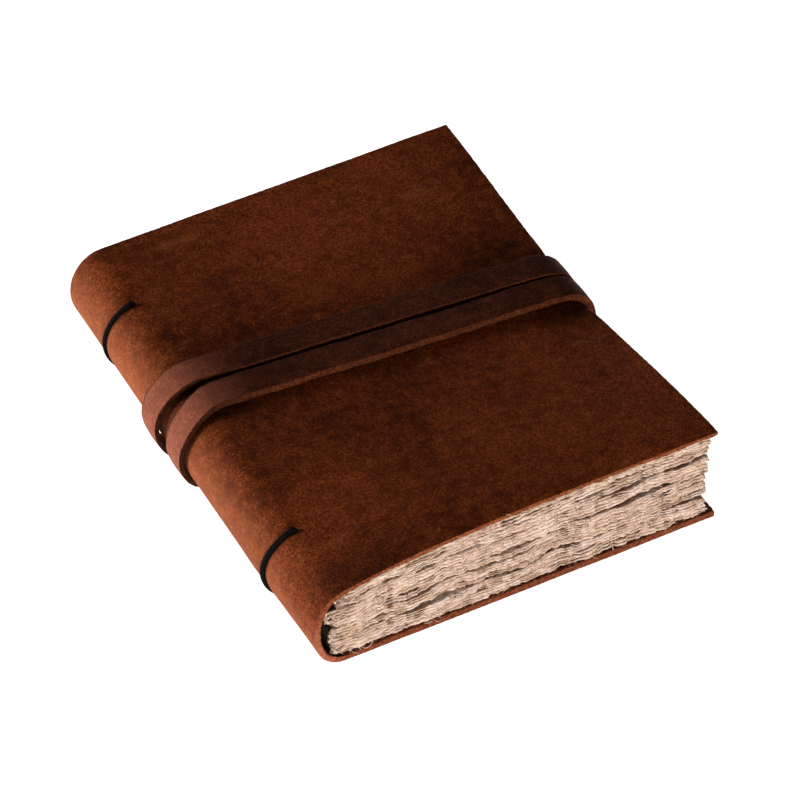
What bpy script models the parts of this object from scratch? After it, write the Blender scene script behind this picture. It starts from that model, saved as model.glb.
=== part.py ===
"""Leather journal: a one-piece wrap cover sewn on two cords, four signatures and a wound strap.

Metres, +Z up. +X runs from the spine to the fore-edge, +Y from the foot to the head. The book lies
on its back cover, with the two turns of the strap under it, and the origin is the middle of the
whole model's footprint. Shapes are worked out in the book's own section, with x from the spine's
outer face and z from the underside of the back cover, and place() moves them to the model's frame.
"""

import math

import bmesh
import bpy
from mathutils import Vector

# The cover: one hide, bent round the text block.
COVER_LENGTH = 0.162
COVER_WIDTH = 0.1292
LEATHER = 0.0021
SPINE_DEPTH = 0.011
SPINE_MIDDLE = 0.0140
COVER_HEIGHT = 0.0275
COVER_BEND_ANGLE = math.radians(59.0)
CUT_HALF_ANGLE = math.radians(0.75)

# How the front cover swells away from the strap, towards the foot and the head.
FOOT_SWELL = 0.0073
FOOT_SWELL_LENGTH = 0.028
FOOT_SWELL_START = 0.008
FOOT_SWELL_RUN = 0.070
HEAD_SWELL = 0.0034
HEAD_SWELL_START = 0.014
HEAD_SWELL_RUN = 0.068
EDGE_DROP = 0.0016
EDGE_DROP_START = 0.100
PINCH = 0.0010
PINCH_START = 0.105
PINCH_Y = 0.0027
PINCH_HALF_WIDTH = 0.0135
PINCH_POWER = 6
STRAP_ZONE = (-0.020, 0.024)
FRONT_STATIONS = (COVER_WIDTH, 0.122, 0.112, 0.100, 0.075, 0.050, 0.032, 0.020)

# The text block: folded sheets of thick handmade paper, nested in fours.
SIGNATURES = 4
SHEETS = 4
LEAVES = 2 * SHEETS * SIGNATURES
PAPER = 0.00036
PAGE_LENGTH = 0.159
PAGE_WIDTH = 0.1275
FOLD_STEP = 0.00062
FOLD_SPREAD = 0.012
FOLD_X = (0.0120, 0.0092, 0.0090, 0.0120)
LEAF_STATIONS = (PAGE_WIDTH, 0.085, 0.045, 0.0215, 0.0125)
PAGE_PINCH_START = 0.090
PAGE_PINCH_RUN = 0.030
PAGE_PINCH_HALF_WIDTH = 0.030
PAGE_PINCH_POWER = 4
THREAD_DIAMETER = 0.0005

# The two sewing cords, which loop round the spine and through a hole in each cover.
CORD_DIAMETER = 0.0015
CORD_Y = 0.053
HOLE_X = 0.0093
HOLE_DIAMETER = 0.0022
CORD_OUTER_END = math.radians(70.0)
CORD_INNER_END = math.radians(60.0)

# How a cord turns through its hole: x, and the depth under the cover's outer face.
CORD_TURN = (
    (0.0080, -0.0007),
    (0.0090, -0.0005),
    (HOLE_X, 0.0003),
    (HOLE_X, 0.0012),
    (0.0092, 0.0022),
    (0.0088, 0.0031),
    (0.0081, 0.0038),
)

# The strap, wound twice round the closed book.
STRAP_WIDTH = 0.0096
STRAP_THICKNESS = 0.0023
STRAP_TOP_GAP = 0.0004
STRAP_FOOT_GAP = 0.0003
STRAP_SPINE_X = 0.0120
STRAP_SPINE_REACH = 0.0155
STRAP_SPINE_POWER = 2.0
STRAP_FORE_X = 0.1170
STRAP_FORE_REACH = 0.0172
STRAP_FORE_POWER = 3.6
STRAP_CORNER = 0.0012
STRAP_PITCH = 0.0116
STRAP_TILT = -0.0244
STRAP_TOP_Y = 0.01335
STRAP_START_X = 0.075
STRAP_END_X = 0.045

# Clearance between pieces that touch, and how finely curves are divided.
GAP = 0.0003
BEND_STEPS = 3
FOLD_STEPS = 4
PAGE_ROWS = 8
COVER_END_ROWS = 5
COVER_STRAP_ROWS = 8
STRAP_BEND_STEPS = 10
STRAP_CORNER_STEPS = 3
STRAP_RUN_STEPS = 3
CORD_OUTER_STEPS = 12
CORD_INNER_STEPS = 9
CORD_BEVEL_STEPS = 2
HOLE_SIDES = 16
THREAD_SIDES = 8
SHARP_ANGLE = math.radians(40.0)
EMPTY_SIZE = 0.01

# Plain colours and roughnesses.
LEATHER_COLOR = (0.105, 0.035, 0.014)
STRAP_COLOR = (0.075, 0.025, 0.013)
PAPER_COLOR = (0.70, 0.60, 0.47)
CORD_COLOR = (0.012, 0.011, 0.011)
LINEN_COLOR = (0.62, 0.54, 0.42)
SUEDE_ROUGHNESS = 0.75
STRAP_ROUGHNESS = 0.65
PAPER_ROUGHNESS = 0.95
WAX_ROUGHNESS = 0.55
LINEN_ROUGHNESS = 0.85

BOOK_X = -(STRAP_SPINE_X - STRAP_SPINE_REACH + STRAP_FORE_X + STRAP_FORE_REACH) / 2
BOOK_Z = STRAP_THICKNESS + STRAP_FOOT_GAP
PAGE_FLOOR = LEATHER + GAP


def place(x, y, z):
    """Move a point of the book's section into the model's frame."""
    return Vector((x + BOOK_X, y, z + BOOK_Z))


def smooth(t):
    """Ease from 0 to 1 with a level start and end."""
    t = min(max(t, 0.0), 1.0)
    return t * t * (3.0 - 2.0 * t)


def spread(start, end, steps):
    """Evenly spaced values from start to end, both included."""
    return [start + (end - start) * i / steps for i in range(steps + 1)]


# ---------------------------------------------------------------- the cover's outer surface


def foot_share(y):
    """How far the swell towards the foot has grown at y."""
    t = min(max((-y - FOOT_SWELL_START) / FOOT_SWELL_RUN, 0.0), 1.0)
    return 0.5 * t + 0.5 * smooth(t)


def head_share(y):
    """How far the swell towards the head has grown at y."""
    return smooth((y - HEAD_SWELL_START) / HEAD_SWELL_RUN)


def strap_pinch(x, y):
    """How far the strap pulls the front cover's edge down."""
    across = max(x - PINCH_START, 0.0) / (COVER_WIDTH - PINCH_START)
    along = math.exp(-(((y - PINCH_Y) / PINCH_HALF_WIDTH) ** PINCH_POWER))
    return PINCH * across * across * along


def cover_top(x, y):
    """Height of the front cover's outer face over the back cover's underside."""
    reach = max(x - SPINE_DEPTH, 0.0)
    foot = foot_share(y)
    head = head_share(y)
    foot_rise = FOOT_SWELL * (1.0 - math.exp(-reach / FOOT_SWELL_LENGTH))
    head_rise = HEAD_SWELL * reach / (COVER_WIDTH - SPINE_DEPTH)
    drop = EDGE_DROP * smooth((x - EDGE_DROP_START) / (COVER_WIDTH - EDGE_DROP_START))
    level = COVER_HEIGHT + foot * foot_rise + head * head_rise
    return level - (1.0 - foot - head) * drop - strap_pinch(x, y)


def spine_point(angle, inset=0.0):
    """Point of the rounded spine, -90 degrees at its foot and 90 at its top, moved inwards by inset."""
    half = SPINE_MIDDLE if angle < 0.0 else COVER_HEIGHT - SPINE_MIDDLE
    x = -(SPINE_DEPTH - inset) * math.cos(angle)
    z = (half - inset) * math.sin(angle)
    return SPINE_DEPTH + x, SPINE_MIDDLE + z


def spine_angle(height):
    """Angle of the spine's outer surface at a height over the back cover's underside."""
    half = SPINE_MIDDLE if height < SPINE_MIDDLE else COVER_HEIGHT - SPINE_MIDDLE
    return math.asin((height - SPINE_MIDDLE) / half)


def signature_foot(index):
    """Height of the underside of signature number index at the spine."""
    return PAGE_FLOOR + (COVER_HEIGHT - 2.0 * PAGE_FLOOR) * index / SIGNATURES


HINGE_ANGLES = (
    [-COVER_BEND_ANGLE]
    + [spine_angle(signature_foot(i)) for i in range(1, SIGNATURES)]
    + [COVER_BEND_ANGLE]
)


# ---------------------------------------------------------------- scene and bodies


def clear_scene():
    """Empty the file, so that the model stands alone."""
    for found in list(bpy.data.objects):
        bpy.data.objects.remove(found, do_unlink=True)


def make_material(name, color, roughness):
    """A plain Principled material."""
    material = bpy.data.materials.new(name)
    material.use_nodes = True
    shader = material.node_tree.nodes["Principled BSDF"]
    shader.inputs["Base Color"].default_value = (*color, 1.0)
    shader.inputs["Roughness"].default_value = roughness
    material.diffuse_color = (*color, 1.0)
    return material


def make_body(name, origin, parent=None):
    """An empty on the axis that the body turns about."""
    empty = bpy.data.objects.new(name, None)
    empty.empty_display_size = EMPTY_SIZE
    bpy.context.collection.objects.link(empty)
    empty.location = origin
    if parent:
        empty.parent = parent
        empty.location = origin - world_origin(parent)
    return empty


def world_origin(empty):
    """Place of an empty in the model's frame, with its parents' places added up."""
    place_sum = Vector(empty.location)
    if empty.parent:
        place_sum += world_origin(empty.parent)
    return place_sum


def make_object(name, shape, body, material):
    """An object of the given bmesh, hung on its body's empty."""
    bmesh.ops.translate(shape, verts=shape.verts, vec=-world_origin(body))
    mesh = bpy.data.meshes.new(name)
    shape.to_mesh(mesh)
    shape.free()
    mesh.materials.append(material)
    mesh.shade_smooth()
    mesh.set_sharp_from_angle(angle=SHARP_ANGLE)
    built = bpy.data.objects.new(name, mesh)
    bpy.context.collection.objects.link(built)
    built.parent = body
    return built


def add_skin(shape, grid):
    """Triangles over a grid of points, all split along the same slant so that sheets nest."""
    verts = [[shape.verts.new(point) for point in row] for row in grid]
    for near, far in zip(verts, verts[1:]):
        for i in range(len(near) - 1):
            if near[i].co.x > near[i + 1].co.x:
                shape.faces.new((near[i], near[i + 1], far[i + 1]))
                shape.faces.new((near[i], far[i + 1], far[i]))
            else:
                shape.faces.new((near[i], near[i + 1], far[i]))
                shape.faces.new((near[i + 1], far[i + 1], far[i]))


def make_sheet(name, outer, inner, body, material):
    """A closed sheet between two matching grids of points, its outer and its inner surface.

    Each row runs anticlockwise round the book as seen from the foot, and the rows run from the
    head to the foot.
    """
    shape = bmesh.new()
    add_skin(shape, outer)
    add_skin(shape, inner)
    rim = [edge for edge in shape.edges if edge.is_boundary]
    bmesh.ops.bridge_loops(shape, edges=rim)
    bmesh.ops.recalc_face_normals(shape, faces=shape.faces)
    return make_object(name, shape, body, material)


# ---------------------------------------------------------------- leather cover


def spine_arc(start, end, steps, inset):
    """Points of the rounded spine between two angles, from the higher angle to the lower."""
    return [spine_point(angle, inset) for angle in spread(end, start, steps)]


def straight_rows(section):
    """Rows of a cover sheet with one section from end to end."""
    ends = (COVER_LENGTH / 2, -COVER_LENGTH / 2)
    return [[place(x, y, z) for x, z in section] for y in ends]


def make_back_cover(body, leather):
    """The flat back cover, with the spine's lower bend as far as its hinge line."""
    grids = []
    for inset in (0.0, LEATHER):
        bend = spine_arc(-math.pi / 2, HINGE_ANGLES[0] - CUT_HALF_ANGLE, BEND_STEPS, inset)
        grids.append(straight_rows(bend + [(COVER_WIDTH, inset)]))
    return make_sheet("cover_back", *grids, body, leather)


def make_spine_panel(index, body, leather):
    """The strip of the cover behind one signature."""
    start = HINGE_ANGLES[index] + CUT_HALF_ANGLE
    end = HINGE_ANGLES[index + 1] - CUT_HALF_ANGLE
    grids = [straight_rows(spine_arc(start, end, BEND_STEPS, inset)) for inset in (0.0, LEATHER)]
    return make_sheet(f"cover_spine_{index + 1}", *grids, body, leather)


def make_front_cover(body, leather):
    """The front cover, which dips under the strap and swells towards head and foot."""
    end = COVER_LENGTH / 2
    stations = spread(end, STRAP_ZONE[1], COVER_END_ROWS)
    stations += spread(STRAP_ZONE[1], STRAP_ZONE[0], COVER_STRAP_ROWS)[1:]
    stations += spread(STRAP_ZONE[0], -end, COVER_END_ROWS)[1:]
    grids = []
    for inset in (0.0, LEATHER):
        bend = spine_arc(HINGE_ANGLES[-1] + CUT_HALF_ANGLE, math.pi / 2, BEND_STEPS, inset)
        rows = []
        for y in stations:
            flat = [place(x, y, cover_top(x, y) - inset) for x in FRONT_STATIONS]
            rows.append(flat + [place(x, y, z) for x, z in bend])
        grids.append(rows)
    return make_sheet("cover_front", *grids, body, leather)


def cut_cord_hole(cover, y, height):
    """Punch one cord hole through a cover."""
    bpy.ops.mesh.primitive_cylinder_add(
        vertices=HOLE_SIDES,
        radius=HOLE_DIAMETER / 2,
        depth=4.0 * LEATHER,
        location=place(HOLE_X, y, height),
    )
    cutter = bpy.context.object
    cutter.name = f"{cover.name}_hole_cutter"
    cutter.hide_render = True
    cutter.display_type = "WIRE"
    hole = cover.modifiers.new("cord_hole", "BOOLEAN")
    hole.operation = "DIFFERENCE"
    hole.solver = "EXACT"
    hole.object = cutter


# ---------------------------------------------------------------- paper


def page_level(x, y, share):
    """Height of a level of the text block, 0 at its underside and 1 at its top."""
    top = cover_top(x, y) - PAGE_FLOOR
    across = smooth((x - PAGE_PINCH_START) / PAGE_PINCH_RUN)
    along = math.exp(-((y / PAGE_PINCH_HALF_WIDTH) ** PAGE_PINCH_POWER))
    return PAGE_FLOOR + (top - PINCH * across * along - PAGE_FLOOR) * share


def sheet_section(signature, sheet, y, offset):
    """Folded sheet at y, from the upper leaf's edge round to the lower's, offset from its middle."""
    fold_x = FOLD_X[signature]
    middle_share = (signature + 0.5) / SIGNATURES
    rank = SHEETS - sheet
    radius = rank * FOLD_STEP
    fold_z = page_level(SPINE_DEPTH, y, middle_share)
    lower = []
    upper = []
    for x in LEAF_STATIONS:
        pitch = (page_level(x, y, 1.0) - PAGE_FLOOR) / LEAVES
        ease = smooth((x - fold_x) / FOLD_SPREAD)
        away = radius + ((rank - 0.5) * pitch - radius) * ease + offset
        middle = page_level(x, y, middle_share)
        lower.append((x, middle - away))
        upper.append((x, middle + away))
    reach = radius + offset
    arc = []
    for angle in spread(math.pi / 2, -math.pi / 2, FOLD_STEPS):
        arc.append((fold_x - reach * math.cos(angle), fold_z + reach * math.sin(angle)))
    lower.reverse()
    return upper + arc + lower


def make_folded_sheet(signature, sheet, body, paper):
    """One folded sheet of a signature: two leaves joined at the fold."""
    grids = []
    for offset in (PAPER / 2, -PAPER / 2):
        rows = []
        for y in spread(PAGE_LENGTH / 2, -PAGE_LENGTH / 2, PAGE_ROWS):
            section = sheet_section(signature, sheet, y, offset)
            rows.append([place(x, y, z) for x, z in section])
        grids.append(rows)
    return make_sheet(f"signature_{signature + 1}_sheet_{sheet + 1}", *grids, body, paper)


def make_thread(signature, body, linen):
    """The sewing thread that lies in a signature's fold, from cord to cord."""
    height = page_level(SPINE_DEPTH, 0.0, (signature + 0.5) / SIGNATURES)
    shape = bmesh.new()
    bmesh.ops.create_cone(
        shape,
        cap_ends=True,
        segments=THREAD_SIDES,
        radius1=THREAD_DIAMETER / 2,
        radius2=THREAD_DIAMETER / 2,
        depth=2.0 * CORD_Y,
    )
    bmesh.ops.rotate(shape, verts=shape.verts, matrix=turn_to_y())
    bmesh.ops.translate(shape, verts=shape.verts, vec=place(FOLD_X[signature], 0.0, height))
    return make_object(f"sewing_thread_{signature + 1}", shape, body, linen)


def turn_to_y():
    """Rotation that lays a shape's Z axis along Y."""
    return Vector((0.0, 0.0, 1.0)).rotation_difference(Vector((0.0, 1.0, 0.0))).to_matrix()


# ---------------------------------------------------------------- cords


def cord_route():
    """Closed route of a cord in the book's section: round the spine, in, and back behind the folds."""
    radius = CORD_DIAMETER / 2
    outer = -(GAP + radius)
    inner = LEATHER + GAP + radius
    outer_angles = spread(CORD_OUTER_END, -CORD_OUTER_END, CORD_OUTER_STEPS)
    inner_angles = spread(-CORD_INNER_END, CORD_INNER_END, CORD_INNER_STEPS)
    route = [spine_point(angle, outer) for angle in outer_angles]
    route += CORD_TURN
    route += [spine_point(angle, inner) for angle in inner_angles]
    route += [(x, COVER_HEIGHT - depth) for x, depth in reversed(CORD_TURN)]
    return route


def make_cord(name, y, body, cord_material):
    """One waxed cord, a closed loop through the two covers."""
    route = cord_route()
    curve = bpy.data.curves.new(name, "CURVE")
    curve.dimensions = "3D"
    curve.bevel_depth = CORD_DIAMETER / 2
    curve.bevel_resolution = CORD_BEVEL_STEPS
    spline = curve.splines.new("POLY")
    spline.points.add(len(route) - 1)
    for point, (x, z) in zip(spline.points, route):
        point.co = (*(place(x, y, z) - world_origin(body)), 1.0)
    spline.use_cyclic_u = True
    curve.materials.append(cord_material)
    cord = bpy.data.objects.new(name, curve)
    bpy.context.collection.objects.link(cord)
    cord.parent = body
    return cord


# ---------------------------------------------------------------- strap


def strap_round(center_x, reach, power, start, inset):
    """Points of a round stretch of the strap, from a start angle up to its top at 90 degrees."""
    top = COVER_HEIGHT + STRAP_TOP_GAP + STRAP_THICKNESS - SPINE_MIDDLE - inset
    foot = SPINE_MIDDLE + BOOK_Z - inset
    steps = round(STRAP_BEND_STEPS * (math.pi / 2 - start) / math.pi)
    points = []
    for angle in spread(start, math.pi / 2, steps):
        across = max(math.cos(angle), 0.0) ** (2.0 / power)
        up = math.copysign(abs(math.sin(angle)) ** (2.0 / power), angle)
        height = top if up > 0.0 else foot
        x = center_x + (reach - math.copysign(inset, reach)) * across
        points.append((x, SPINE_MIDDLE + height * up))
    return points


def strap_corner(inset):
    """Points of the strap's tight turn round the back cover's edge, from foot to fore-edge."""
    center_x = STRAP_FORE_X + STRAP_FORE_REACH - STRAP_THICKNESS - STRAP_CORNER
    center_z = STRAP_CORNER - STRAP_FOOT_GAP
    radius = STRAP_CORNER + STRAP_THICKNESS - inset
    angles = spread(-math.pi / 2, 0.0, STRAP_CORNER_STEPS)
    return [(center_x + radius * math.cos(a), center_z + radius * math.sin(a)) for a in angles]


def strap_section(inset):
    """Route of the strap in the book's section, from its start under the book to its end."""
    spine = strap_round(STRAP_SPINE_X, -STRAP_SPINE_REACH, STRAP_SPINE_POWER, -math.pi / 2, inset)
    fore = strap_corner(inset)
    fore += strap_round(STRAP_FORE_X, STRAP_FORE_REACH, STRAP_FORE_POWER, 0.0, inset)
    fore.reverse()
    foot_z = spine[0][1]
    top_z = spine[-1][1]
    over = [(x, top_z) for x in spread(STRAP_SPINE_X, STRAP_FORE_X, STRAP_RUN_STEPS)[1:-1]]
    under = [(x, foot_z) for x in spread(STRAP_FORE_X, STRAP_SPINE_X, STRAP_RUN_STEPS)[1:-1]]
    turn = spine + over + fore
    return [(STRAP_START_X, foot_z)] + turn + under + turn + [(STRAP_END_X, foot_z)]


def strap_drift(section):
    """How far along Y each point of the route has wound, counted from the first pass over the top."""
    travel = [0.0]
    for (x0, z0), (x1, z1) in zip(section, section[1:]):
        travel.append(travel[-1] + math.hypot(x1 - x0, z1 - z0))
    first = STRAP_BEND_STEPS + 1
    fore_points = STRAP_CORNER_STEPS + 1 + STRAP_BEND_STEPS // 2 + 1
    second = 2 * first + fore_points + 2 * (STRAP_RUN_STEPS - 1)
    perimeter = travel[second] - travel[first]
    middle = travel[first] + (STRAP_FORE_X - STRAP_SPINE_X) / 2
    return [-STRAP_PITCH * (t - middle) / perimeter for t in travel]


def make_strap(body, leather):
    """The strap, one band wound as a flat helix."""
    drifts = strap_drift(strap_section(0.0))
    middle_x = (STRAP_SPINE_X + STRAP_FORE_X) / 2
    grids = []
    for inset in (0.0, STRAP_THICKNESS):
        rows = []
        for side in (-1.0, 1.0):
            row = []
            for (x, z), drift in zip(strap_section(inset), drifts):
                y = STRAP_TOP_Y + drift + STRAP_TILT * (x - middle_x) + side * STRAP_WIDTH / 2
                row.append(place(x, y, z))
            rows.append(row)
        grids.append(rows)
    return make_sheet("wrap_strap", *grids, body, leather)


# ---------------------------------------------------------------- assembly


def build():
    """Make every piece and hang it on its body."""
    clear_scene()
    leather = make_material("cover_leather", LEATHER_COLOR, SUEDE_ROUGHNESS)
    strap_leather = make_material("strap_leather", STRAP_COLOR, STRAP_ROUGHNESS)
    paper = make_material("handmade_paper", PAPER_COLOR, PAPER_ROUGHNESS)
    waxed_cord = make_material("waxed_cord", CORD_COLOR, WAX_ROUGHNESS)
    linen = make_material("linen_thread", LINEN_COLOR, LINEN_ROUGHNESS)

    back_body = make_body("back_cover", Vector((0.0, 0.0, 0.0)))
    back = make_back_cover(back_body, leather)
    parent = back_body
    for index in range(SIGNATURES):
        x, z = spine_point(HINGE_ANGLES[index])
        parent = make_body(f"signature_{index + 1}", place(x, 0.0, z), parent)
        make_spine_panel(index, parent, leather)
        make_thread(index, parent, linen)
        for sheet in range(SHEETS):
            make_folded_sheet(index, sheet, parent, paper)
    x, z = spine_point(HINGE_ANGLES[-1])
    front_body = make_body("front_cover", place(x, 0.0, z), parent)
    front = make_front_cover(front_body, leather)

    for name, y in (("cord_head", CORD_Y), ("cord_foot", -CORD_Y)):
        cut_cord_hole(back, y, LEATHER / 2)
        cut_cord_hole(front, y, COVER_HEIGHT - LEATHER / 2)
        make_cord(name, y, back_body, waxed_cord)

    strap_body = make_body("strap", Vector((0.0, 0.0, 0.0)), back_body)
    make_strap(strap_body, strap_leather)


build()
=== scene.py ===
"""Leather journal: a soft hide cover sewn on two cords, deckle-edged sheets and a wound strap.

Metres, +Z up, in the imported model's own frame. Shapes are worked out in the book's section, with x
from the spine's outer face and z from the back cover's underside, and in_frame() moves them.
"""

import math

import bpy
import numpy as np
from bpy.props import FloatProperty, FloatVectorProperty, PointerProperty
from bpy.types import Operator, Panel, PropertyGroup
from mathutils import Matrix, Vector


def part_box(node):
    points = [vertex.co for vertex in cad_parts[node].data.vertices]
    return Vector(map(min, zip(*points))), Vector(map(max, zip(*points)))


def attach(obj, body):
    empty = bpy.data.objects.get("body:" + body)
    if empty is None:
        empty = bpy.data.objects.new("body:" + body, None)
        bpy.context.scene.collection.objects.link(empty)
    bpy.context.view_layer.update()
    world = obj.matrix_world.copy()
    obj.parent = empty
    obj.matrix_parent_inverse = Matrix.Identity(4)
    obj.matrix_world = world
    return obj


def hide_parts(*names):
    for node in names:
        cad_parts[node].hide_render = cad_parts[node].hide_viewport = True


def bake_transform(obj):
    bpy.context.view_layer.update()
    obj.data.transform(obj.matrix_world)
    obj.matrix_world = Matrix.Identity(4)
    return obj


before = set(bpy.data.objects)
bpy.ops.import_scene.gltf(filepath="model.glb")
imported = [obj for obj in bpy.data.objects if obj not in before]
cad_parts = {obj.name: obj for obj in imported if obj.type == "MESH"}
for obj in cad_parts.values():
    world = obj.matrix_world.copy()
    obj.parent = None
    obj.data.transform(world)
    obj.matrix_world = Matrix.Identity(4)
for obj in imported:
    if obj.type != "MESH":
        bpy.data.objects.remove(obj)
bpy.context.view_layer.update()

bl_info = {
    "name": "Leather Journal",
    "version": (1, 0, 0),
    "blender": (4, 5, 0),
    "location": "3D View > Sidebar > Journal",
    "description": "Makes the visible leather, paper, cord and strap of a wrapped journal",
    "category": "Add Mesh",
}

# ---------------------------------------------------------------- sizes

BACK_LOW, BACK_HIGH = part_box("cover_back")
COVER_HALF = BACK_HIGH.y
COVER_WIDTH = 0.1292
LEATHER = 0.0021
SPINE_DEPTH = 0.011
SPINE_MIDDLE = 0.0140
COVER_HEIGHT = 0.0275
BOOK_X = BACK_HIGH.x - COVER_WIDTH
BOOK_Z = BACK_LOW.z

# The hide's own length is measured from the front fore-edge, over the front cover and the spine.
FLAT_RUN = COVER_WIDTH - SPINE_DEPTH
SPINE_RADIUS = 0.0125
SPINE_RUN = math.pi * SPINE_RADIUS
SPINE_END = FLAT_RUN + SPINE_RUN
HIDE_RUN = 2.0 * FLAT_RUN + SPINE_RUN
FORE_THINNING = 0.34
THINNING_TURN = 0.4 * SPINE_RUN
THINNING_RUN = 0.030
BACK_THICKENING = 0.16
THICKENING_RUN = 0.02
FRONT_OVERHANG = 0.0008
BACK_OVERHANG = 0.0019

FOOT_SWELL = 0.0073
FOOT_SWELL_LENGTH = 0.028
FOOT_SWELL_START = 0.008
FOOT_SWELL_RUN = 0.070
SWELL_START = 0.0085
SWELL_EASE = 0.003
SWELL_GAIN = 1.15
HEAD_SWELL = 0.0034
HEAD_SWELL_START = 0.014
HEAD_SWELL_RUN = 0.068
EDGE_DROP = 0.0016
EDGE_DROP_START = 0.100
PINCH = 0.0017
PINCH_START = 0.105
PINCH_Y = 0.0027
PINCH_HALF_WIDTH = 0.0135
PINCH_POWER = 6
OVERHANG_GAP_Y = PINCH_Y - 0.003
OVERHANG_GAP_HALF = 1.15 * PINCH_HALF_WIDTH
SPINE_SINK = 0.0013
SPINE_SINK_START = 0.040
SPINE_SINK_RUN = 0.041

# Small relief of the hide: soft waves, frayed ends, cord grooves and the dimple at each hole.
UNDULATION = 0.00012
UNDULATION_SIZE = 0.022
FRAY = 0.16
FRAY_SIZE = 0.0016
FRAY_DEPTH = 0.0007
FRAY_START = 0.010
FRAY_RUN = 0.03
CORD_GROOVE = 0.00050
GROOVE_WIDTH = 0.0015
GROOVE_EASE = 0.004
GROOVE_LEAD = 0.003
DIMPLE = 0.0007
DIMPLE_WIDTH = 0.0035
DIMPLE_SHIFT = 0.0018
EDGE_BAND = 0.0006
TEAR = 0.00020
TEAR_SIZE = 0.0011
END_WAVE = 0.00010
FORE_WAVE = 0.00012
WAVE_SIZE = 0.019
HIDE_STEP = 0.0011
HIDE_ROWS = 125
RIM_INSET = 0.0012
SEAM_INSET = 0.00035

# Angles round the spine, from its foot at -90 degrees to its top at 90.
SEAM_ANGLES = [math.radians(a) for a in (-76.0, -42.0, -13.0, 11.3, 41.3, 76.0)]
BODY_CHAIN = ["back_cover", "signature_1", "signature_2", "signature_3", "signature_4", "front_cover"]
HINGES = len(BODY_CHAIN) - 1

SIGNATURES = 4
SHEETS = 4
LEAVES = 2 * SHEETS * SIGNATURES
LEAF_THICKNESS = 0.00042
PAGE_WIDTH = 0.1280
PAGE_HALF = 0.0806
PAGE_GAP = 0.0002
PAGE_FLOOR = LEATHER * (1.0 + BACK_THICKENING) + 0.0001
FOLD_STEP = 0.00062
FOLD_SPREAD = 0.007
FOLD_X = (0.0094, 0.0084, 0.0084, 0.0112)

# Sizes of the waves in the gaps between leaves.
LONG_GAP = 0.034
SHORT_GAP = 0.011

# Sizes of the tears along a leaf's edge, and how far the edge curls and frays.
LONG_TEAR = 0.021
SHORT_TEAR = 0.0052
FINE_TEAR = 0.0016
RIM = 0.0040
EDGE_CURL = 0.00028
CURL_SIZE = 0.0060
EDGE_FELT = 0.00022
FELT_SIZE = 0.0014
LAYER_SIZE = 0.0042
# Size of the patches of painted shade and light on the torn edges.
RELIEF_SIZE = 0.0016
FOLD_WANDER = 0.0006
FOLD_WANDER_SIZE = 0.019
FOLD_FRAY_X = 0.0014
FOLD_FRAY_Z = 0.0008
# How far painted shade reaches on the folds inside the spine and in the gaps between leaves near their edges.
FOLD_SHADE_REACH = 0.004
BURIED_REACH = 0.014
BURIED_FADE = 0.008
GAP_SHADE_START = 0.0003
GAP_SHADE_RISE = 0.0006
GAP_SHADE_REACH = 0.0032
GAP_SHADE_FALL = 0.0020
THINNEST = 0.00010
THICKEST = 0.00052
STACK_XS = np.linspace(0.0, 0.132, 133)
STACK_YS = np.linspace(-0.083, 0.083, 167)

CORD_HEAD_Y = 0.0540
CORD_FOOT_Y = -0.0530
HOLE_X = 0.0093
CORD_SLANT_HEAD = 0.0018
CORD_SLANT_FOOT = 0.0020
CORD_SLANT_GAIN = 1.6
HOLE_RUN = FLAT_RUN + SPINE_DEPTH - HOLE_X
CORD_TURN_X = np.array([-0.0003, 0.0003, 0.0002, -0.0002])
CORD_TURN_DEPTH = np.array([0.0004, 0.0010, 0.0020, 0.0030])
CORD_BEDDING = 0.30
CORD_GAP = 0.0003
CORD_SIDES = 16
CORD_STEP = 0.00016
BRAID_LENGTH = 0.0011

STRAP_WIDTH = 0.0096
STRAP_THICKNESS = 0.0023
STRAP_TOP_GAP = 0.0004
STRAP_FOOT_GAP = 0.0003
STRAP_SPINE_X = 0.0120
STRAP_SPINE_REACH = 0.0150
STRAP_FORE_X = 0.1170
STRAP_FORE_REACH = 0.0172
STRAP_FORE_POWER = 3.0
STRAP_CORNER = 0.0012
STRAP_PITCH = 0.0116
STRAP_TILT = -0.0244
STRAP_TOP_Y = 0.01335
STRAP_START_X = 0.075
STRAP_END_X = 0.045
STRAP_SPINE_THINNING = 0.36
STRAP_RIM = 0.0012
STRAP_END_RIM = 0.0008
STRAP_STEP = 0.0014
STRAP_LINE_STEP = 0.0002
STRAP_TEAR = 0.00015
STRAP_TEAR_SIZE = 0.0013
STRAP_EDGE_WAVE = 0.00022
STRAP_EDGE_WAVE_SIZE = 0.013
STRAP_CROWN = 0.00018
STRAP_BUMPS = 0.00010
STRAP_BUMP_SIZE = 0.009
STRAP_THIN_X = 0.014
STRAP_THIN_RUN = 0.012
# Where the strap turns paler round the spine, partly stretched pull-up leather and partly a painted highlight
# of the lit spine, and up to where its cut edges take painted shade.
STRAP_BENT_X = 0.026
STRAP_BENT_RUN = 0.020
STRAP_EDGE_SHADE_X = 0.040
SECOND_TURN_RUN = 0.030
SECOND_TURN_SPINE_X = 0.015
SECOND_TURN_SPINE_RUN = 0.017
SECOND_TURN_FORE_X = 0.085
SECOND_TURN_FORE_RUN = 0.030
SECOND_TURN_SPREAD = 0.0006
SECOND_TURN_SHIFT = 0.0034
SECOND_TURN_SINK = 0.0007

# Painted shadow on the spine's hide under and between the two turns of the strap.
STRAP_SHADOW_Y = 0.0042
STRAP_SHADOW_DRIFT = 0.0018
STRAP_SHADOW_HALF = 0.0086
STRAP_SHADOW_FADE = 0.0014
STRAP_SHADOW_BEFORE = 0.016
STRAP_SHADOW_RISE = 0.014
STRAP_SHADOW_AFTER = 0.004
STRAP_SHADOW_FALL = 0.008
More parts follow.
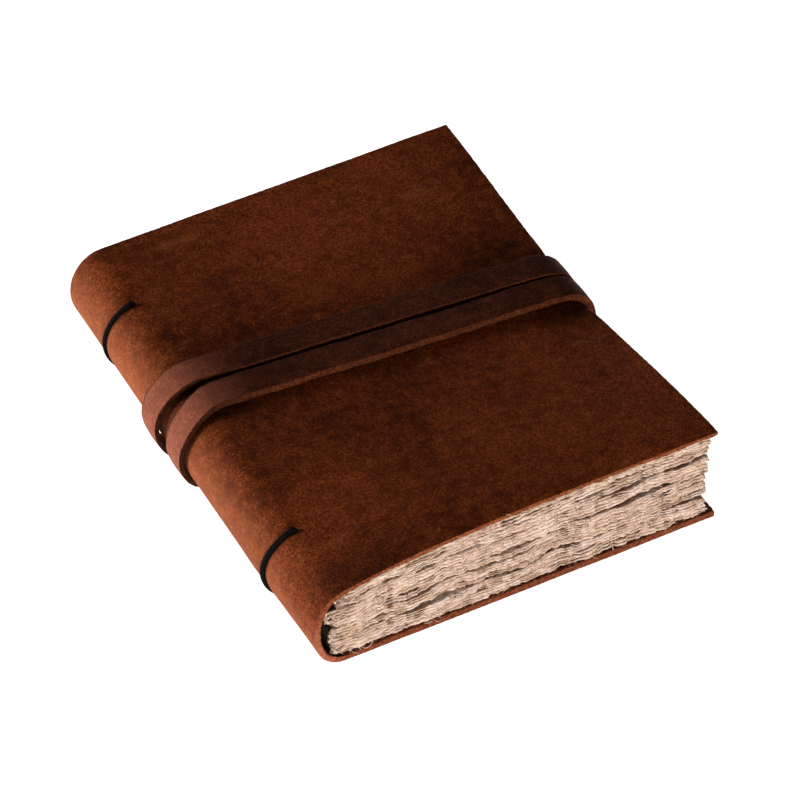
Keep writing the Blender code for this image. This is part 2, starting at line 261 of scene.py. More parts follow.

# Painted shade inside the spine and round the cord holes, painted shadow beside the cords, and a darker band
# near the front cover's foot: how far each one reaches, and the run over which it fades.
POCKET_BEFORE = 0.004
POCKET_AFTER = 0.003
POCKET_REACH = 0.012
POCKET_FADE = 0.006
HOLE_REACH = 0.0011
HOLE_FADE = 0.0005
BESIDE_CORD_REACH = 0.0016
BESIDE_CORD_FADE = 0.0007
CORD_MIDDLE_SHIFT = 0.0003
# A darker band on the front cover's face near its foot end, by the spine.
FOOT_BAND_FROM_Y = -0.060
FOOT_BAND_FADE_Y = 0.016
FOOT_BAND_BEFORE = 0.028
FOOT_BAND_BEFORE_FADE = 0.018
FOOT_BAND_AFTER = 0.017
FOOT_BAND_AFTER_FADE = 0.014

# The bent hide over the spine is paler, from a little later near the foot: partly the lightening of stretched
# pull-up leather, partly a painted highlight of the lit spine.
BEND_START = 0.002
BEND_FOOT_SHIFT = 0.008
BEND_FOOT_Y = -0.048
BEND_FOOT_RUN = 0.026
BEND_RISE = 0.018
BEND_FALL = 0.010

# A loose fibre's curve for a length of 1, and how much longer than most a few of them are.
FIBRE_BEND = ((0.0, 0.0, -0.25), (0.75, 0.1, 0.55), (-0.35, 0.35, 0.65))
SHORT_FIBRE = 0.6
LONG_FIBRE = 2.4
LONG_FIBRE_POWER = 16.0

# ---------------------------------------------------------------- surface detail

# Noise scales, in features to the metre.
HIDE_CLOUD = 22.0
HIDE_SCUFF = 75.0
HIDE_BLOTCH = 260.0
HIDE_SPOT = 360.0
HIDE_GRAIN = 1350.0
HIDE_FINE = 2600.0
RAW_GRAIN = 1500.0
FLESH_GRAIN = 700.0
PAPER_CLOUD = 70.0
PAPER_FLUFF = 330.0
PAPER_LAYERS = 800.0
PAPER_PITS = 1100.0
PAPER_FELT = 1600.0
CORD_WAX = 2200.0
THREAD_TWIST = 900.0
SCUFF_STRETCH = (0.35, 1.0, 1.0)
LAYER_STRETCH = (0.45, 0.45, 1.3)
FLUFF_STRETCH = (0.5, 0.5, 0.9)

NAP_DEPTH = 0.00035
STRAND_DEPTH = 0.0001
DULL = 0.05
SHEEN_ROUGHNESS = 0.28
BEND_CALM = 0.4
# Colours that the shade attributes mix in: near black for the hide's painted shade and its darker bands,
# brown for painted shade between leaves, near black for painted shade on the folds.
DEEP_HIDE = (0.004, 0.002, 0.0015)
DIM_PAPER = (0.160, 0.072, 0.028)
DEEP_PAPER = (0.010, 0.0050, 0.0028)

# Sockets of a mix node that mixes colours.
MIX_FIRST = 6
MIX_SECOND = 7
MIX_RESULT = 2


# ---------------------------------------------------------------- numbers that vary over a surface


def smooth(t):
    """Ease from 0 to 1 with a level start and end."""
    t = np.clip(t, 0.0, 1.0)
    return t * t * (3.0 - 2.0 * t)


def nearness(gap, reach):
    """1 where a gap is nothing, falling evenly to 0 where it is as large as the reach."""
    return np.clip(1.0 - gap / reach, 0.0, 1.0)


def lattice(i, j, seed):
    """A fixed random value from -1 to 1 for each whole i and j."""
    mask = 0xFFFFFFFF
    n = (i * 374761393 + j * 668265263 + seed * 974634777) & mask
    n = ((n ^ (n >> 13)) * 1274126177) & mask
    n = ((n ^ (n >> 16)) * 461845907) & mask
    return ((n ^ (n >> 15)) & 0xFFFF) / 32767.5 - 1.0


def ripple(a, b, size, seed):
    """Smooth bumps about size across, from -1 to 1, over the places (a, b)."""
    a = np.asarray(a, float) / size
    b = np.asarray(b, float) / size
    a, b = np.broadcast_arrays(a, b)
    i = np.floor(a).astype(np.int64)
    j = np.floor(b).astype(np.int64)
    s = smooth(a - i)
    t = smooth(b - j)
    near = lattice(i, j, seed) * (1.0 - s) + lattice(i + 1, j, seed) * s
    far = lattice(i, j + 1, seed) * (1.0 - s) + lattice(i + 1, j + 1, seed) * s
    return near * (1.0 - t) + far * t


def rough(a, b, size, seed, octaves=3):
    """Ripples of several sizes, each half as large and a little over half as deep as the last."""
    total = 0.0
    for octave in range(octaves):
        total = total + 0.6**octave * ripple(a, b, size / 2.0**octave, seed + 17 * octave)
    return total


def in_frame(x, y, z):
    """Points of the book's section in the model's frame, one row each."""
    x, y, z = np.broadcast_arrays(x, y, z)
    return np.stack([x + BOOK_X, y, z + BOOK_Z], axis=-1)


# ---------------------------------------------------------------- the hide's surface


def foot_share(y):
    """How far the swell towards the foot has grown at y."""
    t = np.clip((-y - FOOT_SWELL_START) / FOOT_SWELL_RUN, 0.0, 1.0)
    return 0.5 * t + 0.5 * smooth(t)


def head_share(y):
    """How far the swell towards the head has grown at y."""
    return smooth((y - HEAD_SWELL_START) / HEAD_SWELL_RUN)


def swell(x, y):
    """How far the front cover lies above its height over the spine."""
    reach = SWELL_EASE * np.logaddexp(0.0, (x - SWELL_START) / SWELL_EASE)
    foot = foot_share(y)
    head = head_share(y)
    foot_rise = FOOT_SWELL * (1.0 - np.exp(-reach / FOOT_SWELL_LENGTH))
    head_rise = HEAD_SWELL * reach / (COVER_WIDTH - SPINE_DEPTH)
    drop = EDGE_DROP * smooth((x - EDGE_DROP_START) / (COVER_WIDTH - EDGE_DROP_START))
    across = np.clip((x - PINCH_START) / (COVER_WIDTH - PINCH_START), 0.0, 1.0)
    along = np.exp(-(((y - PINCH_Y) / PINCH_HALF_WIDTH) ** PINCH_POWER))
    return foot * foot_rise + head * head_rise - (1.0 - foot - head) * drop - PINCH * across**2 * along


def hide_section(u, y, inset):
    """x and z of the hide at a run u from the front fore-edge, inset from its outer face."""
    turned = np.clip(u - FLAT_RUN, 0.0, SPINE_RUN)
    angle = math.pi / 2 - turned / SPINE_RADIUS
    half = np.where(angle < 0.0, SPINE_MIDDLE, COVER_HEIGHT - SPINE_MIDDLE)
    x = SPINE_DEPTH - (SPINE_DEPTH - inset) * np.cos(angle)
    z = SPINE_MIDDLE + (half - inset) * np.sin(angle)
    x = x + np.clip(FLAT_RUN - u, 0.0, None) + np.clip(u - SPINE_END, 0.0, None)
    x = x + SPINE_SINK * smooth((-y - SPINE_SINK_START) / SPINE_SINK_RUN) * np.cos(angle) ** 2
    upper = smooth(np.sin(angle) * SWELL_GAIN)
    return x, z + swell(x, y) * upper


def hide_inset(u):
    """Thickness of the hide, which thins towards the front fore-edge and is thicker behind."""
    thinning = FORE_THINNING * smooth((FLAT_RUN + THINNING_TURN - u) / THINNING_RUN)
    return LEATHER * (1.0 - thinning + BACK_THICKENING * smooth((u - SPINE_END) / THICKENING_RUN))


def overhang(u, y):
    """How much further than its flat run the hide reaches at its two fore-edges, away from the strap."""
    free = 1.0 - np.exp(-(((y - OVERHANG_GAP_Y) / OVERHANG_GAP_HALF) ** 4))
    front = FRONT_OVERHANG * smooth(1.0 - u / FLAT_RUN)
    back = BACK_OVERHANG * smooth(1.0 - (HIDE_RUN - u) / FLAT_RUN)
    return free * (front + back)


def hole_y(side):
    """Y of the upper cord hole on the head's side (1) or the foot's side (-1)."""
    return np.where(side > 0.0, CORD_HEAD_Y, CORD_FOOT_Y)


def cord_slant(z, side):
    """How far along Y a cord lies from its upper hole at a height, as it runs down the spine."""
    slant = np.where(side > 0.0, CORD_SLANT_HEAD, CORD_SLANT_FOOT)
    return slant * smooth(CORD_SLANT_GAIN * (1.0 - z / COVER_HEIGHT))


def hide_press(u, y):
    """How deep the cords and their holes press into the hide."""
    angle = math.pi / 2 - np.clip(u - FLAT_RUN, 0.0, SPINE_RUN) / SPINE_RADIUS
    side = np.sign(y)
    line_y = hole_y(side) + cord_slant(COVER_HEIGHT * (0.5 + 0.5 * np.sin(angle)), side)
    across = np.exp(-(((y - line_y) / GROOVE_WIDTH) ** 2))
    spine = smooth((u - FLAT_RUN + GROOVE_LEAD) / GROOVE_EASE)
    spine = spine * smooth((SPINE_END + GROOVE_LEAD - u) / GROOVE_EASE)
    near = np.hypot(u - HOLE_RUN + DIMPLE_SHIFT, y - hole_y(side))
    return CORD_GROOVE * across * spine + DIMPLE * np.exp(-((near / DIMPLE_WIDTH) ** 2))


def hide_point(u, y, h):
    """Points of the hide, from h = -1 on its flesh side to h = 1 on its outer face."""
    undulation = UNDULATION * rough(u, y, UNDULATION_SIZE, 5, 2)
    press = hide_press(u, y)
    outer_x, outer_z = hide_section(u, y, press - undulation)
    inner_x, inner_z = hide_section(u, y, hide_inset(u))
    share = (h + 1.0) / 2.0
    end_near = nearness(COVER_HALF - np.abs(y), FRAY_DEPTH)
    frayed = np.clip(rough(u, y * 0.3, FRAY_SIZE, 35, 3), 0.0, None)
    share = share - FRAY * end_near * smooth(0.2 - h) * frayed * smooth((u - FRAY_START) / FRAY_RUN)
    beyond = overhang(u, y)
    return beyond + inner_x + (outer_x - inner_x) * share, inner_z + (outer_z - inner_z) * share


def seam_run(angle):
    """Run along the hide of an angle round the spine."""
    return FLAT_RUN + (math.pi / 2 - angle) * SPINE_RADIUS


def page_level(x, y, share):
    """Height of a level of the text block, 0 at its underside and 1 at its top."""
    thickness = LEATHER * (1.0 - FORE_THINNING * smooth((x + THINNING_TURN - SPINE_DEPTH) / THINNING_RUN))
    top = COVER_HEIGHT + swell(np.maximum(x, SPINE_DEPTH), y) - thickness - PAGE_GAP
    return PAGE_FLOOR + (top - PAGE_FLOOR) * share


# ---------------------------------------------------------------- meshes


def rect_loop(us, vs):
    """Places round a rectangle's edge, anticlockwise from its low corner, with no corner twice."""
    low_u = np.full(len(vs) - 1, us[0])
    high_u = np.full(len(vs) - 1, us[-1])
    low_v = np.full(len(us) - 1, vs[0])
    high_v = np.full(len(us) - 1, vs[-1])
    u = np.concatenate([us[:-1], high_u, us[:0:-1], low_u])
    v = np.concatenate([low_v, vs[:-1], high_v, vs[:0:-1]])
    return u, v


def refine(stations, parts):
    """Stations with each step between them divided into equal parts."""
    steps = np.arange(parts) / parts
    fine = (stations[:-1, None] + np.diff(stations)[:, None] * steps[None, :]).ravel()
    return np.append(fine, stations[-1])


def refit(stations, low, high):
    """Stations stretched to run from low to high."""
    return low + (stations - stations[0]) * (high - low) / (stations[-1] - stations[0])


class Sheet:
    """A closed sheet over a rectangle (u, v): coarse faces, a fine rim, and rings through its edge.

    us and vs are the coarse stations of the whole rectangle, without its edges. rings are pairs of
    the distance in from the edge and the height h, from the outer face round to the inner one.
    seams names the sides, "low" and "high" in u, that butt against a neighbour and stay square.
    """

    def __init__(self, domain, us, vs, rings, parts, seams=()):
        u_low, u_high, v_low, v_high = domain
        self.u = []
        self.v = []
        self.h = []
        self.depth = []
        self.faces = []
        self.count = 0
        fine_us = refine(us, parts)
        fine_vs = refine(vs, parts)
        top = self.add_grid(us, vs, 1.0)
        loops = []
        for depth, h in rings:
            in_low = depth * (0.03 if "low" in seams else 1.0)
            in_high = depth * (0.03 if "high" in seams else 1.0)
            ring_us = refit(fine_us, u_low + in_low, u_high - in_high)
            ring_vs = refit(fine_vs, v_low + depth, v_high - depth)
            loops.append(self.add_loop(*rect_loop(ring_us, ring_vs), h, depth))
        bottom = self.add_grid(us, vs, -1.0)
        self.add_fans(top, loops[0], parts, False)
        for near, far in zip(loops, loops[1:]):
            turned = np.roll(near, -1)
            self.faces.append(np.stack([near, far, np.roll(far, -1), turned], axis=1))
        self.add_fans(bottom, loops[-1], parts, True)
        self.u = np.concatenate(self.u)
        self.v = np.concatenate(self.v)
        self.h = np.concatenate(self.h)
        self.depth = np.concatenate(self.depth)

    def add_loop(self, u, v, h, depth):
        """Add points and return their numbers."""
        numbers = np.arange(self.count, self.count + len(u))
        self.u.append(u)
        self.v.append(v)
        self.h.append(np.full(len(u), h))
        self.depth.append(np.full(len(u), depth))
        self.count += len(u)
        return numbers

    def add_grid(self, us, vs, h):
        """Add a coarse face over the stations and return its edge loop."""
        grid_u, grid_v = np.meshgrid(us, vs, indexing="ij")
        numbers = self.add_loop(grid_u.ravel(), grid_v.ravel(), h, np.inf).reshape(len(us), len(vs))
        a = numbers[:-1, :-1].ravel()
        b = numbers[1:, :-1].ravel()
        c = numbers[1:, 1:].ravel()
        d = numbers[:-1, 1:].ravel()
        order = [a, b, c, d] if h > 0 else [a, d, c, b]
        self.faces.append(np.stack(order, axis=1))
        edge = [numbers[:-1, 0], numbers[-1, :-1], numbers[:0:-1, -1], numbers[0, :0:-1]]
        return np.concatenate(edge)

    def add_fans(self, coarse, fine, parts, flip):
        """Join a coarse loop to a fine one that has parts steps for each of its own."""
        ahead = np.roll(coarse, -1)
        half = parts // 2
        triangles = []
        for part in range(parts):
            hub = coarse if part < half else ahead
            start = fine[part::parts]
            end = np.roll(fine, -1)[part::parts]
            triangles.append(np.stack([hub, start, end], axis=1))
        middle = fine[half::parts]
        triangles.append(np.stack([coarse, middle, ahead], axis=1))
        joined = np.concatenate(triangles)
        self.faces.append(joined[:, ::-1] if flip else joined)


def store(mesh, label, values):
    """Keep a value or a vector for each point of a mesh under a label."""
    vector = values.ndim == 2
    made = mesh.attributes.new(label, "FLOAT_VECTOR" if vector else "FLOAT", "POINT")
    made.data.foreach_set("vector" if vector else "value", values.astype(np.float32).ravel())


def link_object(name, data):
    """A new object in the scene."""
    made = bpy.data.objects.new(name, data)
    bpy.context.scene.collection.objects.link(made)
    return made


def make_mesh_object(name, points, face_groups, attributes, material, sharp=60.0):
    """A new object with the given points, groups of faces, point values and material."""
    mesh = bpy.data.meshes.new(name)
    faces = []
    for group in face_groups:
        faces.extend(group.tolist())
    mesh.from_pydata(points.tolist(), [], faces)
    for label, values in attributes.items():
        store(mesh, label, values)
    if signed_volume(mesh) < 0.0:
        mesh.flip_normals()
    mesh.shade_smooth()
    mesh.set_sharp_from_angle(angle=math.radians(sharp))
    mesh.materials.append(material)
    return link_object(name, mesh)


def signed_volume(mesh):
    """Volume inside a closed mesh, negative if it is inside out."""
    mesh.calc_loop_triangles()
    corners = np.empty(len(mesh.loop_triangles) * 3, np.int32)
    mesh.loop_triangles.foreach_get("vertices", corners)
    points = np.empty(len(mesh.vertices) * 3, np.float32)
    mesh.vertices.foreach_get("co", points)
    a, b, c = points.reshape(-1, 3)[corners.reshape(-1, 3)].transpose(1, 0, 2).astype(float)
    return float(np.einsum("ij,ij->i", a, np.cross(b, c)).sum() / 6.0)


# ---------------------------------------------------------------- node helpers


def fill(tree, node, inputs):
    """Give a node's inputs, by name or number, a socket to follow or a value to keep."""
    for key, value in inputs.items():
        if isinstance(value, bpy.types.NodeSocket):
            tree.links.new(value, node.inputs[key])
        else:
            node.inputs[key].default_value = value


def add_node(tree, kind, inputs=None, **settings):
    """A new node with the given settings and inputs."""
    node = tree.nodes.new(kind)
    for label, value in settings.items():
        setattr(node, label, value)
    fill(tree, node, inputs or {})
    return node


def put(tree, kind, output, inputs=None, **settings):
    """One output, by name or number, of a new node with the given settings and inputs."""
    return add_node(tree, kind, inputs, **settings).outputs[output]


def add_group_sockets(tree, inputs, outputs):
    """Give a node group its named sockets."""
    for name, kind, value in inputs:
        socket = tree.interface.new_socket(name, in_out="INPUT", socket_type=kind)
        if value is not None:
            socket.default_value = value
    for name, kind in outputs:
        tree.interface.new_socket(name, in_out="OUTPUT", socket_type=kind)


def mixed(tree, factor, first, second, blend="MIX"):
    """Colour output of a mix of two colours, each a socket or three parts."""
    colors = [c if isinstance(c, bpy.types.NodeSocket) else (*c, 1.0) for c in (first, second)]
    inputs = {0: factor, MIX_FIRST: colors[0], MIX_SECOND: colors[1]}
    return put(tree, "ShaderNodeMix", MIX_RESULT, inputs, data_type="RGBA", blend_type=blend)


def math_node(tree, operation, first, second):
    """Value output of one sum on sockets or numbers."""
    return put(tree, "ShaderNodeMath", 0, {0: first, 1: second}, operation=operation)


def times(tree, first, second):
    """Value output of a product."""
    return math_node(tree, "MULTIPLY", first, second)


def weighted(tree, *parts):
    """Value output of the sum of some values, each with its own weight."""
    total = times(tree, *parts[0])
    for part in parts[1:]:
        total = math_node(tree, "ADD", total, times(tree, *part))
    return total


def noise(tree, vector, scale, detail, roughness):
    """Value output of a noise texture."""
    inputs = {"Vector": vector, "Scale": scale, "Detail": detail, "Roughness": roughness}
    return put(tree, "ShaderNodeTexNoise", "Fac", inputs)


def step_range(tree, value, low, high):
    """Value output that rises smoothly from 0 to 1 as value goes from low to high."""
    inputs = {"Value": value, "From Min": low, "From Max": high}
    return put(tree, "ShaderNodeMapRange", "Result", inputs, interpolation_type="SMOOTHSTEP")


def attribute(tree, name, socket="Fac"):
    """Output of a stored point value."""
    return put(tree, "ShaderNodeAttribute", socket, attribute_name=name)


def scaled(tree, vector, scale):
    """Vector output stretched by a scale along each axis."""
    return put(tree, "ShaderNodeMapping", "Vector", {"Vector": vector, "Scale": scale})


def new_material(name):
    """An empty Principled material: its tree and shader."""
    material = bpy.data.materials.new(name)
    material.use_nodes = True
    tree = material.node_tree
    return material, tree, tree.nodes["Principled BSDF"]


def nap_group():
    """Node group: the colour flecks and the fine relief of a brushed hide."""
    found = bpy.data.node_groups.get("brushed nap")
    if found:
        return found
    tree = bpy.data.node_groups.new("brushed nap", "ShaderNodeTree")
    sockets = [
        ("Vector", "NodeSocketVector", None),
        ("Base", "NodeSocketColor", (0.1, 0.03, 0.01, 1.0)),
        ("Dark", "NodeSocketColor", (0.05, 0.015, 0.006, 1.0)),
        ("Fleck", "NodeSocketColor", (0.3, 0.1, 0.03, 1.0)),
        ("Fleck Amount", "NodeSocketFloat", 0.3),
    ]
    results = [("Color", "NodeSocketColor"), ("Height", "NodeSocketFloat"), ("Gloss", "NodeSocketFloat")]
    add_group_sockets(tree, sockets, results)
    source = tree.nodes.new("NodeGroupInput").outputs
    sink = tree.nodes.new("NodeGroupOutput")
    vector = source["Vector"]
    cloud = noise(tree, vector, HIDE_CLOUD, 5.0, 0.55)
    blotch = noise(tree, vector, HIDE_BLOTCH, 4.0, 0.65)
    grain = noise(tree, vector, HIDE_GRAIN, 4.0, 0.78)
    fine = noise(tree, vector, HIDE_FINE, 3.0, 0.7)
    tone = weighted(tree, (cloud, 0.52), (blotch, 0.48))
    color = mixed(tree, step_range(tree, tone, 0.31, 0.65), source["Dark"], source["Base"])
    smudge = math_node(tree, "SUBTRACT", 1.0, step_range(tree, grain, 0.45, 0.55))
    color = mixed(tree, times(tree, smudge, 0.72), color, source["Dark"])
    flecks = times(tree, step_range(tree, fine, 0.54, 0.66), step_range(tree, grain, 0.50, 0.60))
    spots = step_range(tree, noise(tree, vector, HIDE_SPOT, 3.0, 0.6), 0.66, 0.76)
    flecks = math_node(tree, "ADD", flecks, times(tree, spots, 0.5))
    color = mixed(tree, times(tree, flecks, source["Fleck Amount"]), color, source["Fleck"])
    height = weighted(tree, (grain, 0.6), (fine, 0.4))
    fill(tree, sink, {"Color": color, "Height": height, "Gloss": tone})
    return tree


def bumped(tree, height, distance, strength):
    """Normal output that follows a height."""
    inputs = {"Height": height, "Distance": distance, "Strength": strength}
    return put(tree, "ShaderNodeBump", "Normal", inputs)


def leather_material(name, settings):
    """Brushed, oiled hide with raw cut edges and a suede flesh side."""
    base, dark, fleck = settings.base, settings.dark, settings.fleck
    material, tree, shader = new_material(name)
    place = attribute(tree, "rest_place", "Vector")
    inputs = {
        "Vector": place,
        "Base": (*base, 1.0),
        "Dark": (*dark, 1.0),
        "Fleck": (*fleck, 1.0),
        "Fleck Amount": settings.fleck_amount,
    }
    nap = add_node(tree, "ShaderNodeGroup", inputs, node_tree=nap_group()).outputs
    scuff_place = scaled(tree, place, SCUFF_STRETCH)
    scuff = step_range(tree, noise(tree, scuff_place, HIDE_SCUFF, 6.0, 0.75), 0.58, 0.74)
    color = mixed(tree, times(tree, scuff, 0.26), nap["Color"], fleck)
    raw_tone = step_range(tree, noise(tree, place, RAW_GRAIN, 3.0, 0.7), 0.35, 0.68)
    raw = mixed(tree, raw_tone, settings.raw_dark, settings.raw_light)
    color = mixed(tree, attribute(tree, "raw_edge"), color, raw)
    flesh_tone = step_range(tree, noise(tree, place, FLESH_GRAIN, 4.0, 0.7), 0.3, 0.7)
    flesh = mixed(tree, flesh_tone, dark, settings.flesh)
    color = mixed(tree, attribute(tree, "flesh_side"), color, flesh)
    # Paler where bent: partly stretched pull-up leather, partly a painted highlight of the lit spine.
    bent = mixed(tree, 1.0, mixed(tree, BEND_CALM, color, base), settings.pulled_and_lit, "MULTIPLY")
    color = mixed(tree, attribute(tree, "pulled_and_lit"), color, bent)
    # Painted shade and shadow, and the darker bands, from the shade attribute.
    color = mixed(tree, attribute(tree, "shade"), color, DEEP_HIDE)
    inputs = {
        "Base Color": color,
        "Roughness": math_node(tree, "ADD", times(tree, nap["Gloss"], -0.25), 0.80),
        "Specular IOR Level": settings.gloss,
        "Sheen Weight": settings.sheen,
        "Sheen Roughness": SHEEN_ROUGHNESS,
        "Sheen Tint": (*settings.sheen_tint, 1.0),
        "Normal": bumped(tree, nap["Height"], NAP_DEPTH, 0.8),
    }
    fill(tree, shader, inputs)
    return material


def paper_material(settings):
    """Thick cotton paper: cream, clouded, with a felted surface."""
    material, tree, shader = new_material("handmade_paper")
    place = attribute(tree, "rest_place", "Vector")
    along = scaled(tree, place, LAYER_STRETCH)
    layers = noise(tree, along, PAPER_LAYERS, 4.0, 0.65)
    pits = step_range(tree, noise(tree, along, PAPER_PITS, 2.0, 0.5), 0.60, 0.70)
    cloud = noise(tree, place, PAPER_CLOUD, 3.0, 0.6)
    felt = noise(tree, place, PAPER_FELT, 4.0, 0.7)
    leaf, relief, deep = [attribute(tree, name) for name in ("leaf_tone", "relief", "shade")]
    # The relief attribute paints shade and light on the torn edges: what stands out is paler, what is set
    # back darker.
    tone = weighted(tree, (layers, 0.35), (cloud, 0.3), (leaf, 0.20), (relief, 0.60))
    color = mixed(tree, step_range(tree, tone, 0.38, 0.88), settings.shade, settings.color)
    color = mixed(tree, times(tree, step_range(tree, felt, 0.48, 0.68), 0.6), color, settings.pale)
    color = mixed(tree, times(tree, pits, 0.30), color, settings.shade)
    fluff_place = scaled(tree, place, FLUFF_STRETCH)
    fluff = step_range(tree, noise(tree, fluff_place, PAPER_FLUFF, 4.0, 0.65), 0.50, 0.62)
    color = mixed(tree, times(tree, fluff, 0.55), color, settings.pale)
    # Painted shade from the shade attribute: brown in the gaps between leaves, near black on the folds inside
    # the spine's ends.
    dim = mixed(tree, step_range(tree, deep, 0.55, 0.9), DIM_PAPER, DEEP_PAPER)
    inputs = {
        "Base Color": mixed(tree, deep, color, dim),
        "Roughness": 0.95,
        "Specular IOR Level": DULL,
        "Normal": bumped(tree, math_node(tree, "ADD", felt, layers), NAP_DEPTH, 0.9),
    }
    fill(tree, shader, inputs)
    return material


def cord_material(settings):
    """Black waxed braid."""
    material, tree, shader = new_material("waxed_cord")
    wax = noise(tree, attribute(tree, "rest_place", "Vector"), CORD_WAX, 3.0, 0.6)
    inputs = {
        "Base Color": mixed(tree, step_range(tree, wax, 0.35, 0.75), settings.color, settings.wax),
        "Roughness": 0.7,
        "Specular IOR Level": DULL,
        "Normal": bumped(tree, wax, STRAND_DEPTH, 0.6),
    }
    fill(tree, shader, inputs)
    return material


def thread_material(settings):
    """Undyed linen thread, twisted round its length."""
    material, tree, shader = new_material("linen_thread")
    place = put(tree, "ShaderNodeTexCoord", "Object")
    inputs = {"Vector": place, "Scale": THREAD_TWIST, "Distortion": 1.5}
    twist = put(tree, "ShaderNodeTexWave", "Fac", inputs, bands_direction="DIAGONAL")
    inputs = {
        "Base Color": mixed(tree, twist, settings.shade, settings.color),
        "Roughness": 0.85,
        "Normal": bumped(tree, twist, STRAND_DEPTH, 0.6),
    }
    fill(tree, shader, inputs)
    return material


# ---------------------------------------------------------------- cover


# How far in from its edge, and at what height, each ring of points lies on the cover's cut edge.
HIDE_RINGS = [
    (0.0009, 1.0),
    (0.0004, 1.0),
    (0.00015, 0.97),
    (0.0, 0.80),
    (0.0, 0.42),
    (0.0, 0.0),
    (0.0, -0.42),
    (0.0, -0.82),
    (0.00015, -1.0),
    (0.0006, -1.0),
]


def hide_stations(u_low, u_high, step):
    """Even stations inside a run of the hide."""
    count = max(int(round((u_high - u_low) / step)), 3)
    return np.linspace(u_low, u_high, count + 1)


def hide_shade(u, v, h, cut):
    """How dark each place of the hide is, from 0 to 1: painted shade inside the spine and round the cord
    holes, painted shadow beside the cords and under the strap, and darker bands near the front cover's foot
    and on the back cover's cut edge.
    """
    side = np.sign(v)
    # Painted shade on the flesh side inside the spine, near its ends.
    inside = (h <= -0.9) * smooth((u - FLAT_RUN + POCKET_BEFORE) / (2.0 * POCKET_BEFORE))
    inside = inside * smooth((SPINE_END + POCKET_AFTER - u) / POCKET_FADE)
    inside = inside * smooth((np.abs(v) - COVER_HALF + POCKET_REACH) / POCKET_FADE)
    # Painted shade in and round the cord holes.
    top_gap = np.hypot(u - HOLE_RUN, v - hole_y(side))
    low_gap = np.hypot(u - HIDE_RUN + HOLE_RUN, v - hole_y(side) - cord_slant(0.0, side))
    hole = smooth((HOLE_REACH - np.minimum(top_gap, low_gap)) / HOLE_FADE)
    # Painted shadow of each cord on the hide beside it.
    cord_height = COVER_HEIGHT * (0.5 + 0.5 * np.cos(np.clip(u - FLAT_RUN, 0.0, SPINE_RUN) / SPINE_RADIUS))
    cord_gap = np.abs(v + CORD_MIDDLE_SHIFT - hole_y(side) - cord_slant(cord_height, side))
    beside = smooth((BESIDE_CORD_REACH - cord_gap) / BESIDE_CORD_FADE)
    beside = beside * smooth((u - HOLE_RUN + HOLE_FADE) / (2.0 * HOLE_FADE))
    beside = beside * (u < HIDE_RUN - HOLE_RUN)
    # Painted shadow under and between the strap's two turns on the spine.
    strap_y = STRAP_SHADOW_Y + STRAP_SHADOW_DRIFT * (u - FLAT_RUN) / SPINE_RUN
    strap = smooth((STRAP_SHADOW_HALF - np.abs(v - strap_y)) / STRAP_SHADOW_FADE) * (h > 0.0)
    strap = strap * smooth((u - FLAT_RUN + STRAP_SHADOW_BEFORE) / STRAP_SHADOW_RISE)
    strap = strap * smooth((SPINE_END + STRAP_SHADOW_AFTER - u) / STRAP_SHADOW_FALL)
    # A darker band on the front cover's face near its foot end, by the spine, leaving the cut edge as it is.
    oiled = smooth((FOOT_BAND_FROM_Y - v) / FOOT_BAND_FADE_Y)
    oiled = oiled * smooth((u - FLAT_RUN + FOOT_BAND_BEFORE) / FOOT_BAND_BEFORE_FADE)
    oiled = oiled * smooth((FLAT_RUN + FOOT_BAND_AFTER - u) / FOOT_BAND_AFTER_FADE) * (h > 0.0) * (1.0 - cut)
    back_edge = cut * (u > SPINE_END)
    parts = [0.9 * hole, 0.93 * inside, 0.8 * beside, 0.55 * strap, 0.22 * back_edge, 0.50 * oiled]
    return np.maximum.reduce(parts)


def make_hide_piece(name, u_low, u_high, seams, material):
    """One piece of the cover, between two runs along the hide."""
    inset_low = SEAM_INSET if "low" in seams else RIM_INSET
    inset_high = SEAM_INSET if "high" in seams else RIM_INSET
    us = hide_stations(u_low + inset_low, u_high - inset_high, HIDE_STEP)
    vs = np.linspace(-COVER_HALF + RIM_INSET, COVER_HALF - RIM_INSET, HIDE_ROWS)
    sheet = Sheet((u_low, u_high, -COVER_HALF, COVER_HALF), us, vs, HIDE_RINGS, 4, seams)
    u, v, h = sheet.u, sheet.v, sheet.h
    x, z = hide_point(u, v, h)
    end_near = nearness(COVER_HALF - np.abs(v), EDGE_BAND)
    fore_near = nearness(np.minimum(u, HIDE_RUN - u), EDGE_BAND)
    tear = TEAR * (0.35 + 0.65 * smooth(-h))
    torn = tear * rough(u, h * 0.001, TEAR_SIZE, 31, 3) + END_WAVE * ripple(u, 0.0, WAVE_SIZE, 33)
    torn_fore = tear * rough(v, h * 0.001, TEAR_SIZE, 41, 3) + FORE_WAVE * ripple(v, 0.0, WAVE_SIZE, 43)
    points = in_frame(x + fore_near * torn_fore, v + np.sign(v) * end_near * torn, z)
    edge = nearness(sheet.depth, EDGE_BAND)
    cut = np.maximum(end_near, fore_near) * (np.abs(h) < 0.95)
    cut = np.where(np.isinf(sheet.depth), 0.0, np.where(edge > 0.7, cut, 0.35 * cut))
    # Paler where the hide bends over the spine: partly stretched pull-up leather, partly a painted highlight
    # of the lit spine.
    bend_start = FLAT_RUN + BEND_START + BEND_FOOT_SHIFT * smooth((BEND_FOOT_Y - v) / BEND_FOOT_RUN)
    bent = smooth((u - bend_start) / BEND_RISE) * smooth((SPINE_END - u) / BEND_FALL)
    attributes = {
        "rest_place": points,
        "raw_edge": cut,
        "flesh_side": (h <= -0.9).astype(float),
        "shade": hide_shade(u, v, h, cut),
        "pulled_and_lit": bent * (h > -0.5),
    }
    return make_mesh_object(name, points, sheet.faces, attributes, material, 70.0)


